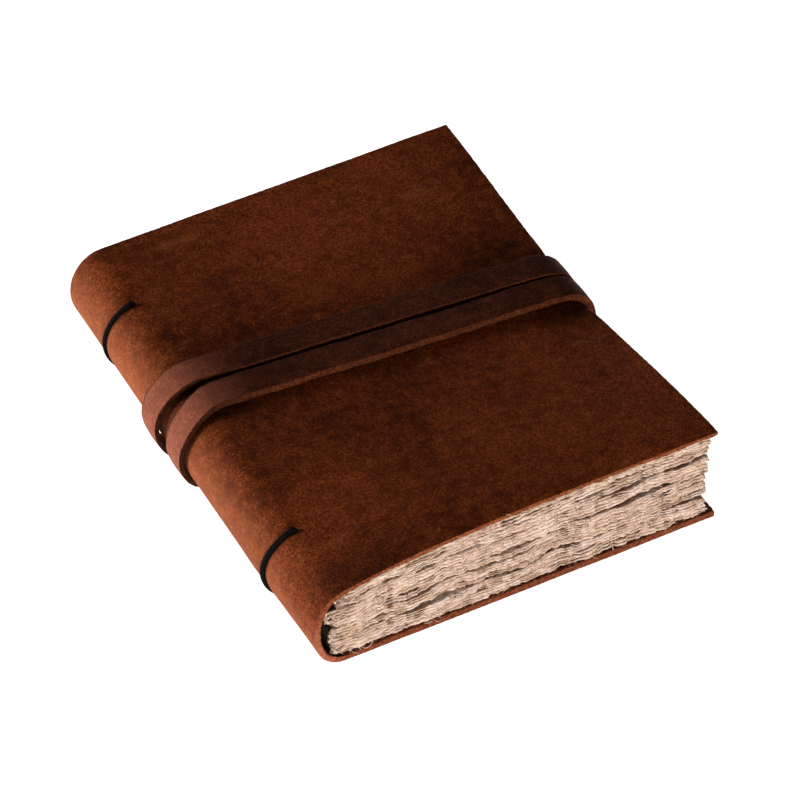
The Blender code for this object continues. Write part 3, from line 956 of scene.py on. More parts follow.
def seam_point(angle, inset=0.0):
    """Point of the spine at an angle, in the model's frame."""
    u = seam_run(angle)
    x, z = hide_section(np.array(u), np.array(0.0), inset)
    return Vector(in_frame(x, 0.0, z).tolist())


def make_cover(settings):
    """The whole cover: two panels and a strip across each bending line."""
    material = leather_material("cover_leather", settings)
    front = make_hide_piece("cover_front_panel", 0.0, seam_run(SEAM_ANGLES[-1]), ("high",), material)
    back = make_hide_piece("cover_back_panel", seam_run(SEAM_ANGLES[0]), HIDE_RUN, ("low",), material)
    for piece, body, replaced in ((front, "front_cover", "cover_front"), (back, "back_cover", "cover_back")):
        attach(piece, body)
        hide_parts(replaced)
    for hinge in range(HINGES):
        low, high = SEAM_ANGLES[hinge], SEAM_ANGLES[hinge + 1]
        strip = make_hide_piece(
            f"cover_bend_{hinge + 1}", seam_run(high), seam_run(low), ("low", "high"), material
        )
        seam_point(low)
        seam_point(high)
        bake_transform(strip)
        if hinge < SIGNATURES:
            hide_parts(f"cover_spine_{hinge + 1}")


# ---------------------------------------------------------------- paper


class LeafStack:
    """Heights of the leaves, with uneven gaps between them that always add up to the block's height."""

    def __init__(self):
        x, y = np.meshgrid(STACK_XS, STACK_YS, indexing="ij")
        weights = []
        for gap in range(LEAVES + 1):
            long_wave = ripple(x, y, LONG_GAP, 100 + gap)
            short_wave = ripple(x, y, SHORT_GAP, 300 + gap)
            open_share = np.clip(0.15 + 0.75 * long_wave + 0.45 * short_wave, 0.0, None) ** 1.4
            weight = (0.05 + 0.25 * open_share) if gap % 2 else (0.12 + 1.1 * open_share)
            if gap in (0, LEAVES):
                weight = 0.12 + 0.3 * open_share
            elif gap % (2 * SHEETS) == 0:
                weight = 0.5 + 0.8 * open_share
            weights.append(weight)
        weights = np.array(weights)
        below = np.cumsum(weights, axis=0)
        share = below[:-1] / below[-1]
        height = page_level(x, y, 1.0) - PAGE_FLOOR
        spare = height - LEAVES * LEAF_THICKNESS
        leaf = np.arange(LEAVES)[:, None, None]
        self.table = PAGE_FLOOR + share * spare + (leaf + 0.5) * LEAF_THICKNESS

    def height(self, leaf, x, y):
        """Height of the middle of a leaf at each place."""
        i = np.clip((x - STACK_XS[0]) / (STACK_XS[1] - STACK_XS[0]), 0.0, len(STACK_XS) - 1.001)
        j = np.clip((y - STACK_YS[0]) / (STACK_YS[1] - STACK_YS[0]), 0.0, len(STACK_YS) - 1.001)
        i0 = i.astype(int)
        j0 = j.astype(int)
        s = i - i0
        t = j - j0
        table = self.table[leaf]
        near = table[i0, j0] * (1.0 - s) + table[i0 + 1, j0] * s
        far = table[i0, j0 + 1] * (1.0 - s) + table[i0 + 1, j0 + 1] * s
        return near * (1.0 - t) + far * t


PAPER_RINGS = [
    (0.0030, 1.0),
    (0.0020, 1.0),
    (0.0012, 1.0),
    (0.0006, 1.0),
    (0.0002, 0.85),
    (0.0, 0.35),
    (0.0, -0.35),
    (0.0002, -0.85),
    (0.0006, -1.0),
    (0.0012, -1.0),
    (0.0020, -1.0),
    (0.0030, -1.0),
]


def leaf_number(signature, sheet, upper):
    """Place of a leaf in the stack, counted from the back cover."""
    return signature * 2 * SHEETS + (2 * SHEETS - 1 - sheet if upper else sheet)


def fold_sizes(signature, sheet):
    """X of a sheet's fold, the fold's radius, and the runs of one leaf and of the fold."""
    fold_x = FOLD_X[signature]
    radius = (SHEETS - sheet) * FOLD_STEP
    return fold_x, radius, PAGE_WIDTH - fold_x, math.pi * radius


def torn_edge(along, row, leaf, seed):
    """How far each place of a leaf's torn edge stands out, as a share of the deckle."""
    torn = 0.9 * ripple(along, row, LONG_TEAR, seed) + 0.55 * ripple(along, row * 9.0, SHORT_TEAR, seed + 2)
    return torn + 0.40 * rough(along, row * 9.0, FINE_TEAR, seed + 4, 3) - 0.5 * (leaf % 2)


def sheet_points(stack, signature, sheet, s, v, h, settings):
    """Points of a folded sheet, s along its width from the upper leaf's fore-edge round the fold."""
    fold_x, radius, leaf_run, arc_run = fold_sizes(signature, sheet)
    upper = s < leaf_run + arc_run / 2
    leaf = np.where(upper, leaf_number(signature, sheet, True), leaf_number(signature, sheet, False))
    angle = math.pi / 2 - np.clip(s - leaf_run, 0.0, arc_run) / radius
    x = fold_x + np.clip(leaf_run - s, 0.0, None) + np.clip(s - leaf_run - arc_run, 0.0, None)
    side = np.where(upper, 1.0, -1.0)

    end_gap = PAGE_HALF - np.abs(v)
    fore_gap = np.minimum(s, 2 * leaf_run + arc_run - s)
    end_near = nearness(end_gap, RIM)
    fore_near = nearness(fore_gap, RIM)
    near = np.maximum(end_near, fore_near)

    pair = leaf // 2
    row = pair * 7.31
    end_row = row + np.where(v > 0.0, 3.7, 0.0)
    depth = settings.deckle
    end_torn = torn_edge(x, end_row, leaf, 51)
    y = v + np.sign(v) * end_near**1.5 * depth * end_torn
    fore_torn = torn_edge(v, row, leaf, 61)
    x = x + fore_near**1.5 * depth * fore_torn

    along = np.where(end_near > fore_near, x, v)
    depth_in = np.where(end_near > fore_near, v, x)
    half = 0.5 * LEAF_THICKNESS * (1.0 + near * (1.0 + rough(along, row * 9.0, LAYER_SIZE, 71, 2)))
    half = np.clip(half, THINNEST, THICKEST)
    curl = near**2 * (EDGE_CURL * rough(along, row * 9.0, CURL_SIZE, 73, 3))
    felt = near * EDGE_FELT * rough(along, depth_in * 3.0 + h * 0.0009, FELT_SIZE, 75, 3)
    # Painted shade and light on the torn edges: parts that stand out are paler, parts set back darker, with
    # some random patches.
    relief = 0.55 + 0.30 * np.where(end_near > fore_near, end_torn, fore_torn)
    relief = relief + 0.30 * rough(along, row * 5.0 + h * 0.0005, RELIEF_SIZE, 79, 2)
    relief = 0.6 + near * (np.clip(relief, 0.0, 1.0) - 0.6)

    middle = page_level(x, y, (signature + 0.5) / SIGNATURES)
    ease = smooth((x - fold_x) / FOLD_SPREAD)
    stacked = np.where(
        upper,
        stack.height(leaf_number(signature, sheet, True), x, y),
        stack.height(leaf_number(signature, sheet, False), x, y),
    )
    level = (1.0 - ease) * (middle + side * radius) + ease * stacked
    z = level + side * h * half + (curl + felt) * ease
    reach = radius + h * half
    in_arc = (s > leaf_run) & (s < leaf_run + arc_run)
    fold_x = fold_x + FOLD_WANDER * ripple(v, row, FOLD_WANDER_SIZE, 77) * (1.0 - ease)
    frayed = near * (1.0 - ease)
    frayed_x = frayed * FOLD_FRAY_X * rough(angle * 0.002, row + sheet, 0.0016, 87, 3)
    frayed_z = frayed * FOLD_FRAY_Z * rough(angle * 0.002, row + sheet, 0.0013, 89, 3)
    x = np.where(in_arc, fold_x - reach * np.cos(angle), x) + frayed_x
    z = np.where(in_arc, middle + reach * np.sin(angle), z) + frayed_z
    # Painted shade: near black on the folds deep inside the spine's ends, and brown in the gaps between
    # leaves near their edges, which shows as a darker border on an open page.
    buried = smooth((np.abs(v) - PAGE_HALF + BURIED_REACH) / BURIED_FADE)
    buried = buried * smooth((end_gap - 0.0001) / 0.0008)
    gap_in = np.minimum(end_gap, fore_gap)
    gap_shade = smooth((gap_in - GAP_SHADE_START) / GAP_SHADE_RISE) * smooth((GAP_SHADE_REACH - gap_in) / GAP_SHADE_FALL)
    in_fold = smooth(1.0 - (x - fold_x) / FOLD_SHADE_REACH)
    shade = np.maximum(0.95 * in_fold * buried, 0.50 * gap_shade)
    return in_frame(x, y, z), leaf, relief, shade


def make_folded_sheet(stack, signature, sheet, material, settings):
    """One folded sheet: its object, the points of its torn edge, and the way out at each of them."""
    _, _, leaf_run, arc_run = fold_sizes(signature, sheet)
    run = 2 * leaf_run + arc_run
    leaf_side = np.linspace(RIM, leaf_run, 25)
    arc = leaf_run + np.linspace(0.0, arc_run, 7)
    us = np.concatenate([leaf_side, arc[1:-1], run - leaf_side[::-1]])
    vs = np.linspace(-PAGE_HALF + RIM, PAGE_HALF - RIM, 33)
    folded = Sheet((0.0, run, -PAGE_HALF, PAGE_HALF), us, vs, PAPER_RINGS, 16)
    places = (folded.u, folded.v, folded.h)
    points, leaf, relief, shade = sheet_points(stack, signature, sheet, *places, settings)
    tone = lattice(leaf // 2, 0, 11)
    attributes = {"rest_place": points, "leaf_tone": 0.5 + 0.5 * tone, "relief": relief, "shade": shade}
    name = f"paper_{signature + 1}_{sheet + 1}"
    made = make_mesh_object(name, points, folded.faces, attributes, material, 180.0)
    tips = (folded.depth == 0.0) & (folded.h > 0.0)
    out = np.zeros_like(points)
    end_gap = PAGE_HALF - np.abs(folded.v)
    fore_gap = np.minimum(folded.u, run - folded.u)
    on_end = end_gap < fore_gap
    out[:, 0] = np.where(on_end, 0.0, 1.0)
    out[:, 1] = np.where(on_end, np.sign(folded.v), 0.0)
    return made, points[tips], out[tips]


def fibre_tree():
    """Geometry Nodes tree: fine fibres that stand out of a torn edge's points."""
    tree = bpy.data.node_groups.new("torn edge fibres", "GeometryNodeTree")
    sockets = [
        ("Geometry", "NodeSocketGeometry", None),
        ("Length", "NodeSocketFloat", 0.0016),
        ("Thickness", "NodeSocketFloat", 0.00004),
        ("Share", "NodeSocketFloat", 0.2),
        ("Spread", "NodeSocketFloat", 1.1),
        ("Seed", "NodeSocketInt", 1),
        ("Material", "NodeSocketMaterial", None),
    ]
    add_group_sockets(tree, sockets, [("Geometry", "NodeSocketGeometry")])
    source = tree.nodes.new("NodeGroupInput").outputs
    sink = tree.nodes.new("NodeGroupOutput")
    seed = source["Seed"]

    start, middle, end = FIBRE_BEND
    bend = {"Resolution": 5, "Start": start, "Middle": middle, "End": end}
    arc = put(tree, "GeometryNodeCurveQuadraticBezier", "Curve", bend)
    size = put(tree, "ShaderNodeCombineXYZ", "Vector", dict.fromkeys(range(3), source["Length"]))
    line = put(tree, "GeometryNodeTransform", "Geometry", {"Geometry": arc, "Scale": size})
    ring_size = {"Resolution": 3, "Radius": source["Thickness"]}
    ring = put(tree, "GeometryNodeCurvePrimitiveCircle", "Curve", ring_size)
    tube = {"Curve": line, "Profile Curve": ring, "Fill Caps": True}
    fibre = put(tree, "GeometryNodeCurveToMesh", "Mesh", tube)

    odds = {"Probability": source["Share"], "Seed": seed}
    chosen = put(tree, "FunctionNodeRandomValue", 3, odds, data_type="BOOLEAN")
    label = {"Name": "outward"}
    outward = put(tree, "GeometryNodeInputNamedAttribute", "Attribute", label, data_type="FLOAT_VECTOR")
    align = put(tree, "FunctionNodeAlignRotationToVector", "Rotation", {"Vector": outward}, axis="Z")
    angles = {"Min": (-1.0, -1.0, -3.14), "Max": (1.0, 1.0, 3.14), "Seed": seed}
    drawn = put(tree, "FunctionNodeRandomValue", 0, angles, data_type="FLOAT_VECTOR")
    widened = {0: drawn, "Scale": source["Spread"]}
    lean = put(tree, "ShaderNodeVectorMath", "Vector", widened, operation="SCALE")
    added = put(tree, "FunctionNodeEulerToRotation", "Rotation", {"Euler": lean})
    turn = {"Rotation": align, "Rotate By": added}
    turned = put(tree, "FunctionNodeRotateRotation", "Rotation", turn, rotation_space="LOCAL")
    unit = {2: 0.0, 3: 1.0, "Seed": seed}
    longer = put(tree, "FunctionNodeRandomValue", 1, unit, data_type="FLOAT")
    few = math_node(tree, "POWER", longer, LONG_FIBRE_POWER)
    length = math_node(tree, "ADD", times(tree, few, LONG_FIBRE), SHORT_FIBRE)

    plant = {
        "Points": source["Geometry"],
        "Selection": chosen,
        "Instance": fibre,
        "Rotation": turned,
        "Scale": length,
    }
    planted = put(tree, "GeometryNodeInstanceOnPoints", "Instances", plant)
    real = put(tree, "GeometryNodeRealizeInstances", "Geometry", {"Geometry": planted})
    paint = {"Geometry": real, "Material": source["Material"]}
    fill(tree, sink, {"Geometry": put(tree, "GeometryNodeSetMaterial", "Geometry", paint)})
    return tree


def make_fibres(name, points, outward, tree, values, material):
    """Fibres planted on the points of torn edges, as one plain mesh."""
    mesh = bpy.data.meshes.new(name)
    mesh.from_pydata(points.tolist(), [], [])
    store(mesh, "outward", outward)
    seed_object = link_object(f"{name}_points", mesh)
    planter = seed_object.modifiers.new("fibres", "NODES")
    planter.node_group = tree
    for item in tree.interface.items_tree:
        if item.in_out == "INPUT" and item.name in values:
            planter[item.identifier] = values[item.name]
    bpy.context.view_layer.update()
    evaluated = seed_object.evaluated_get(bpy.context.evaluated_depsgraph_get())
    grown = bpy.data.meshes.new_from_object(evaluated)
    bpy.data.objects.remove(seed_object)
    grown.name = name
    count = len(grown.vertices)
    place = np.empty(count * 3, np.float32)
    grown.vertices.foreach_get("co", place)
    store(grown, "rest_place", place.reshape(-1, 3))
    # Fibres take the pale end of the painted relief shade, and no other painted shade.
    for label, value in (("leaf_tone", 0.9), ("relief", 0.9), ("shade", 0.0)):
        store(grown, label, np.full(count, value))
    grown.materials.clear()
    grown.materials.append(material)
    return link_object(name, grown)


def make_paper(settings):
    """All folded sheets and the fibres of their torn edges."""
    material = paper_material(settings)
    tree = fibre_tree()
    stack = LeafStack()
    for signature in range(SIGNATURES):
        body = f"signature_{signature + 1}"
        all_points = []
        all_outward = []
        for sheet in range(SHEETS):
            made, points, outward = make_folded_sheet(stack, signature, sheet, material, settings)
            all_points.append(points)
            all_outward.append(outward)
            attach(made, body)
            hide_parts(f"{body}_sheet_{sheet + 1}")
        values = {
            "Length": settings.fibre_length,
            "Thickness": settings.fibre_thickness,
            "Share": settings.fibre_share,
            "Seed": signature + 3,
            "Material": material,
        }
        points = np.concatenate(all_points)
        outward = np.concatenate(all_outward)
        fibres = make_fibres(f"paper_fibres_{signature + 1}", points, outward, tree, values, material)
        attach(fibres, body)


# ---------------------------------------------------------------- cords


def sweep_tube(line, radii, sides):
    """Points and faces of a closed tube along a line, with a radius for each point and side."""
    tangent = np.gradient(line, axis=0)
    tangent /= np.linalg.norm(tangent, axis=1)[:, None]
    across = np.array([0.0, 1.0, 0.0])
    normal = np.cross(tangent, across)
    normal /= np.linalg.norm(normal, axis=1)[:, None]
    angle = np.arange(sides) * 2.0 * math.pi / sides
    ring = normal[:, None, :] * np.cos(angle)[None, :, None]
    ring = ring + across[None, None, :] * np.sin(angle)[None, :, None]
    points = (line[:, None, :] + ring * radii[:, :, None]).reshape(-1, 3)
    rows = len(line)
    numbers = np.arange(rows * sides).reshape(rows, sides)
    turned = np.roll(numbers, -1, axis=1)
    walls = [numbers[:-1], turned[:-1], turned[1:], numbers[1:]]
    walls = np.stack([corner.ravel() for corner in walls], axis=1)
    return points, [walls, np.array([numbers[0][::-1]]), np.array([numbers[-1]])]


def cord_run(angle, inset):
    """Points of a cord round the spine at each angle, inset from the hide's outer face."""
    u = seam_run(np.asarray(angle))
    return hide_section(u, np.full_like(u, CORD_HEAD_Y), inset)


def even_line(x, z, step):
    """Points at even steps along a line through the given ones."""
    travel = np.concatenate([[0.0], np.cumsum(np.hypot(np.diff(x), np.diff(z)))])
    count = max(int(round(travel[-1] / step)), 4)
    stations = np.linspace(0.0, travel[-1], count + 1)
    return np.interp(stations, travel, x), np.interp(stations, travel, z)


def rounded_line(x, z, passes):
    """The line with its corners rounded, its ends kept."""
    for _ in range(passes):
        x[1:-1] = 0.25 * x[:-2] + 0.5 * x[1:-1] + 0.25 * x[2:]
        z[1:-1] = 0.25 * z[:-2] + 0.5 * z[1:-1] + 0.25 * z[2:]
    return x, z


def cord_part(hinge, y_sign, radius):
    """Lines of a cord's outer and inner part across one hinge, one joined line at the two ends."""
    angles = np.linspace(SEAM_ANGLES[hinge], SEAM_ANGLES[hinge + 1], 13)
    outer = cord_run(angles, CORD_GROOVE - radius * CORD_BEDDING)
    inner = cord_run(angles, LEATHER + CORD_GAP + radius)
    if 0 < hinge < HINGES - 1:
        return [outer, inner]
    top = hinge == HINGES - 1
    level = COVER_HEIGHT + float(swell(np.array(HOLE_X), hole_y(y_sign))) if top else 0.0
    turn_x = HOLE_X + CORD_TURN_X
    turn_z = level - CORD_TURN_DEPTH if top else level + CORD_TURN_DEPTH
    if not top:
        outer, inner = [[line[::-1] for line in pair] for pair in (outer, inner)]
    x = np.concatenate([outer[0], turn_x, inner[0][::-1]])
    z = np.concatenate([outer[1], turn_z, inner[1][::-1]])
    return [(x, z)]


def make_cord_piece(name, lines, y, radius, material):
    """A length of braided cord on each line, as one object."""
    points = []
    faces = []
    count = 0
    angle = np.arange(CORD_SIDES) * 2.0 * math.pi / CORD_SIDES
    for x, z in lines:
        x, z = rounded_line(*even_line(x, z, CORD_STEP), 6)
        line = in_frame(x, y + cord_slant(z, math.copysign(1.0, y)), z)
        wave = np.arange(len(x))[:, None] * CORD_STEP * 2.0 * math.pi / BRAID_LENGTH
        braid = np.maximum(np.sin(wave + 2.0 * angle[None, :]), np.sin(wave - 2.0 * angle[None, :] + 1.6))
        made, groups = sweep_tube(line, radius * (0.90 + 0.10 * braid), CORD_SIDES)
        points.append(made)
        faces.extend(group + count for group in groups)
        count += len(made)
    points = np.concatenate(points)
    return make_mesh_object(name, points, faces, {"rest_place": points}, material, 75.0)


def make_cords(settings):
    """Two cords, each in a part for every hinge that it crosses."""
    material = cord_material(settings)
    radius = settings.diameter / 2.0
    for name, y_sign in (("cord_head", 1.0), ("cord_foot", -1.0)):
        for hinge in range(HINGES):
            lines = cord_part(hinge, y_sign, radius)
            piece = make_cord_piece(f"{name}_{hinge + 1}", lines, float(hole_y(y_sign)), radius, material)
            start = seam_point(SEAM_ANGLES[hinge])
            end = seam_point(SEAM_ANGLES[hinge + 1])
            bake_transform(piece)
            if hinge == 0:
                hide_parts(name)


# ---------------------------------------------------------------- strap


STRAP_RINGS = [
    (0.0009, 1.0),
    (0.00040, 1.0),
    (0.00010, 0.96),
    (0.0, 0.70),
    (0.0, 0.2),
    (0.0, -0.25),
    (0.0, -0.7),
    (0.00015, -0.97),
    (0.0006, -1.0),
]


def strap_round(center_x, reach, power, start):
    """Outer points of a round stretch of the strap, from a start angle up to its top."""
    top = COVER_HEIGHT + STRAP_TOP_GAP + STRAP_THICKNESS - SPINE_MIDDLE
    foot = SPINE_MIDDLE + BOOK_Z
    angle = np.linspace(start, math.pi / 2, 90)
    across = np.maximum(np.cos(angle), 0.0) ** (2.0 / power)
    up = np.sign(angle) * np.abs(np.sin(angle)) ** (2.0 / power)
    return center_x + reach * across, SPINE_MIDDLE + np.where(up > 0.0, top, foot) * up


def strap_route():
    """Even points of the strap's outer face in the section, and how far each has wound along Y."""
    spine_x, spine_z = strap_round(STRAP_SPINE_X, -STRAP_SPINE_REACH, 2.0, -math.pi / 2)
    corner = np.linspace(-math.pi / 2, 0.0, 16)
    corner_radius = STRAP_CORNER + STRAP_THICKNESS
    corner_x = STRAP_FORE_X + STRAP_FORE_REACH - corner_radius + corner_radius * np.cos(corner)
    corner_z = STRAP_CORNER - STRAP_FOOT_GAP + corner_radius * np.sin(corner)
    fore_x, fore_z = strap_round(STRAP_FORE_X, STRAP_FORE_REACH, STRAP_FORE_POWER, 0.0)
    turn_x = np.concatenate([spine_x, fore_x[::-1], corner_x[::-1]])
    turn_z = np.concatenate([spine_z, fore_z[::-1], corner_z[::-1]])
    x = np.concatenate([[STRAP_START_X], turn_x, turn_x, [STRAP_END_X]])
    z = np.concatenate([spine_z[:1], turn_z, turn_z, spine_z[:1]])
    travel = np.concatenate([[0.0], np.cumsum(np.hypot(np.diff(x), np.diff(z)))])
    first_top = travel[len(spine_x)]
    perimeter = travel[len(spine_x) + len(turn_x)] - first_top
    middle = first_top + (STRAP_FORE_X - STRAP_SPINE_X) / 2
    x, z = even_line(x, z, STRAP_LINE_STEP)
    x, z = rounded_line(x, z, 40)
    travel = np.linspace(0.0, travel[-1], len(x))
    return x, z, travel, -STRAP_PITCH * (travel - middle) / perimeter


def make_strap(settings):
    """The strap: one band wound twice round the closed book."""
    material = leather_material("strap_leather", settings)
    x, z, travel, drift = strap_route()
    tangent = np.stack([np.gradient(x), np.gradient(z)])
    tangent /= np.hypot(*tangent)
    length = travel[-1]
    half = STRAP_WIDTH / 2
    us = np.linspace(STRAP_RIM, length - STRAP_RIM, int(length / STRAP_STEP))
    vs = np.linspace(-half + STRAP_RIM, half - STRAP_RIM, 7)
    band = Sheet((0.0, length, -half, half), us, vs, STRAP_RINGS, 4)
    u, v, h = band.u, band.v, band.h
    line_x = np.interp(u, travel, x)
    line_z = np.interp(u, travel, z)
    normal_x = np.interp(u, travel, -tangent[1])
    normal_z = np.interp(u, travel, tangent[0])
    wound = np.interp(u, travel, drift)
    middle_x = (STRAP_SPINE_X + STRAP_FORE_X) / 2
    near = nearness(half - np.abs(v), STRAP_RIM)
    side = np.sign(v)
    torn = STRAP_TEAR * rough(u, h * 0.0011 + side, STRAP_TEAR_SIZE, 81, 3)
    torn = torn + STRAP_EDGE_WAVE * ripple(u, side, STRAP_EDGE_WAVE_SIZE, 83)
    thinned = 1.0 - STRAP_SPINE_THINNING * smooth((STRAP_THIN_X - line_x) / STRAP_THIN_RUN)
    inset = STRAP_THICKNESS * (1.0 - h) / 2.0 * thinned
    crown = STRAP_CROWN * (1.0 - (v / half) ** 2)
    lift = crown + STRAP_BUMPS * rough(u, v + 0.3, STRAP_BUMP_SIZE, 85, 2) - inset
    second = smooth((u - 0.5 * length - SECOND_TURN_RUN) / SECOND_TURN_RUN)
    at_spine = smooth((SECOND_TURN_SPINE_X - line_x) / SECOND_TURN_SPINE_RUN)
    at_fore = smooth((line_x - SECOND_TURN_FORE_X) / SECOND_TURN_FORE_RUN)
    spread = second * (SECOND_TURN_SPREAD * at_fore - SECOND_TURN_SHIFT * at_spine)
    top_y = STRAP_TOP_Y + wound + STRAP_TILT * (line_x - middle_x) + spread
    line_x = line_x + SECOND_TURN_SINK * second * at_spine
    points = in_frame(line_x + normal_x * lift, top_y + v + side * near * torn, line_z + normal_z * lift)
    end_near = nearness(np.minimum(u, length - u), STRAP_END_RIM)
    cut = np.maximum(np.clip(2.5 * near - 1.5, 0.0, 1.0), end_near) * (h < 0.98) * (h > -0.98)
    # Paler where the strap bends round the spine: partly stretched pull-up leather, partly a painted
    # highlight of the lit spine.
    bent = smooth((STRAP_BENT_X - line_x) / STRAP_BENT_RUN)
    # Painted shade on the strap: the rim on the head side, and the cut edges near the spine.
    head_rim = smooth((0.0010 - (half - v)) / 0.0006) * (h > -0.5)
    cut_shade = cut * smooth((STRAP_EDGE_SHADE_X - line_x) / STRAP_EDGE_SHADE_X)
    oiled = np.maximum(0.72 * cut_shade, 0.40 * head_rim)
    attributes = {
        "rest_place": points,
        "raw_edge": cut,
        "flesh_side": (h <= -0.95).astype(float),
        "shade": oiled,
        "pulled_and_lit": bent * (cut < 0.5),
    }
    strap = make_mesh_object("wound_strap", points, band.faces, attributes, material, 70.0)
    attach(strap, "strap")
    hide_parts("wrap_strap")


def finish_threads(settings):
    """Give the sewing threads in the folds their linen finish."""
    material = thread_material(settings)
    for signature in range(SIGNATURES):
        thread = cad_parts[f"sewing_thread_{signature + 1}"]
        thread.data.materials.clear()
        thread.data.materials.append(material)


# ---------------------------------------------------------------- stage


CAMERA_PLACE = Vector((-0.34287, -0.65802, 0.71110))
CAMERA_TARGET = Vector((0.00085, -0.0088, 0.0176))
CAMERA_LENS = 154.565
LIGHT_TARGET = Vector((0.0, 0.0, 0.015))
FLOOR_REACH = 4.0


def aim(thing, target):
    """Turn a camera or a light to face a point."""
    thing.rotation_euler = (target - thing.location).to_track_quat("-Z", "Y").to_euler()


def add_area_light(name, place, size, power, color):
    """A square soft light that faces the book."""
    data = bpy.data.lights.new(name, "AREA")
    data.size = size
    data.energy = power
    data.color = color
    lamp = link_object(name, data)
    lamp.location = place
    aim(lamp, LIGHT_TARGET)


def make_stage(settings):
    """Pale floor, soft light and the camera."""
    scene = bpy.context.scene
    scene.view_settings.view_transform = "Standard"
    mesh = bpy.data.meshes.new("floor")
    corners = [(x * FLOOR_REACH, y * FLOOR_REACH, 0.0) for x, y in ((-1, -1), (1, -1), (1, 1), (-1, 1))]
    mesh.from_pydata(corners, [], [(0, 1, 2, 3)])
    floor = link_object("floor", mesh)
    material, tree, shader = new_material("pale_floor")
    inputs = {
        "Base Color": (0.9, 0.9, 0.9, 1.0),
        "Roughness": 0.9,
        "Specular IOR Level": 0.0,
        "Emission Color": (1.0, 1.0, 1.0, 1.0),
        "Emission Strength": settings.floor_glow,
    }
    fill(tree, shader, inputs)
    mesh.materials.append(material)

    world = bpy.data.worlds.new("soft_room")
    world.use_nodes = True
    room = {"Color": (1.0, 1.0, 1.0, 1.0), "Strength": settings.room_light}
    fill(world.node_tree, world.node_tree.nodes["Background"], room)
    scene.world = world
    add_area_light("window", (-1.00, 0.58, 0.21), 0.30, settings.window_power, (1.0, 0.98, 0.95))
    add_area_light("front_fill", (-0.15, -1.3, 0.13), 0.6, settings.front_power, (1.0, 0.98, 0.96))
    add_area_light("back_fill", (0.5, 1.0, 0.9), 0.8, settings.back_power, (1.0, 1.0, 1.0))

    data = bpy.data.cameras.new("camera")
    data.lens = CAMERA_LENS
    data.sensor_width = 36.0
    camera = link_object("camera", data)
    camera.location = CAMERA_PLACE
    aim(camera, CAMERA_TARGET)
    scene.camera = camera


# ---------------------------------------------------------------- settings


def color_property(name, description, default):
    """A colour that a user can change."""
    return FloatVectorProperty(
        name=name, description=description, default=default, size=3, min=0.0, max=1.0, subtype="COLOR"
    )


def share_property(name, description, default):
    """A share from 0 to 1 that a user can change."""
    return FloatProperty(name=name, description=description, default=default, min=0.0, max=1.0)


def length_property(name, description, default, low=0.0):
    """A length that a user can change."""
    return FloatProperty(name=name, description=description, default=default, min=low, unit="LENGTH")


def power_property(name, description, default):
    """A light's power that a user can change."""
    return FloatProperty(name=name, description=description, default=default, min=0.0, unit="POWER")


def gain_property(name, description, default):
    """A factor for each part of a colour that a user can change."""
    return FloatVectorProperty(
        name=name, description=description, default=default, size=3, min=0.0, subtype="XYZ"
    )


class CoverSettings(PropertyGroup):
    """Colours of the cover's hide."""

    base: color_property("Base", "Main colour of the brushed face", (0.315, 0.063, 0.0132))
    dark: color_property("Dark", "Colour of the oiled, darker clouds", (0.052, 0.0086, 0.0018))
    fleck: color_property("Fleck", "Colour of the worn flecks of nap", (0.55, 0.18, 0.055))
    raw_light: color_property("Raw edge light", "Paler fibres of the cut edge", (0.30, 0.083, 0.031))
    raw_dark: color_property("Raw edge dark", "Darker fibres of the cut edge", (0.11, 0.023, 0.007))
    flesh: color_property("Flesh side", "Suede side of the hide", (0.16, 0.052, 0.022))
    # This gain is partly the lightening of bent pull-up leather and partly a painted highlight of the lit
    # spine.
    pulled_and_lit: gain_property("Pulled", "Gain of the colour where the hide is bent", (1.40, 1.90, 3.4))
    sheen_tint: color_property("Sheen tint", "Colour of the nap's soft glow", (1.0, 0.50, 0.28))
    fleck_amount: share_property("Flecks", "How strongly flecks show", 0.55)
    sheen: share_property("Sheen", "Soft glow of the nap", 0.06)
    gloss: share_property("Gloss", "Strength of the oiled gloss", 0.03)


class StrapSettings(PropertyGroup):
    """Colours of the strap."""

    base: color_property("Base", "Main colour of the strap", (0.137, 0.0325, 0.0128))
    dark: color_property("Dark", "Colour of the oiled, darker clouds", (0.032, 0.0064, 0.0031))
    fleck: color_property("Fleck", "Colour of the worn flecks", (0.42, 0.115, 0.040))
    raw_light: color_property("Raw edge light", "Paler fibres of the cut edge", (0.20, 0.055, 0.019))
    raw_dark: color_property("Raw edge dark", "Darker fibres of the cut edge", (0.055, 0.012, 0.0045))
    flesh: color_property("Flesh side", "Suede side of the strap", (0.14, 0.045, 0.020))
    # This gain is partly the lightening of bent pull-up leather and partly a painted highlight of the lit
    # spine.
    pulled_and_lit: gain_property("Pulled", "Gain of the colour where the strap is bent", (2.9, 3.75, 5.2))
    sheen_tint: color_property("Sheen tint", "Colour of the dusty glow", (1.0, 0.62, 0.52))
    fleck_amount: share_property("Flecks", "How strongly flecks show", 0.5)
    sheen: share_property("Sheen", "Dusty glow of the face", 0.12)
    gloss: share_property("Gloss", "Strength of the oiled gloss", 0.03)


class PaperSettings(PropertyGroup):
    """Colour and torn edge of the sheets."""

    color: color_property("Colour", "Main colour of the paper", (0.67, 0.485, 0.370))
    # This colour is also the dark end of the painted shade on the torn edges.
    shade: color_property("Shade", "Colour of the darker clouds", (0.40, 0.245, 0.150))
    pale: color_property("Pale", "Colour of the pale fibres", (0.83, 0.685, 0.590))
    deckle: length_property("Deckle", "How far the torn edge wanders", 0.0007)
    fibre_length: length_property("Fibre length", "Typical length of a loose fibre", 0.0013)
    fibre_thickness: length_property("Fibre radius", "Radius of a loose fibre", 0.00004)
    fibre_share: share_property("Fibre share", "Share of edge points with a fibre", 0.16)


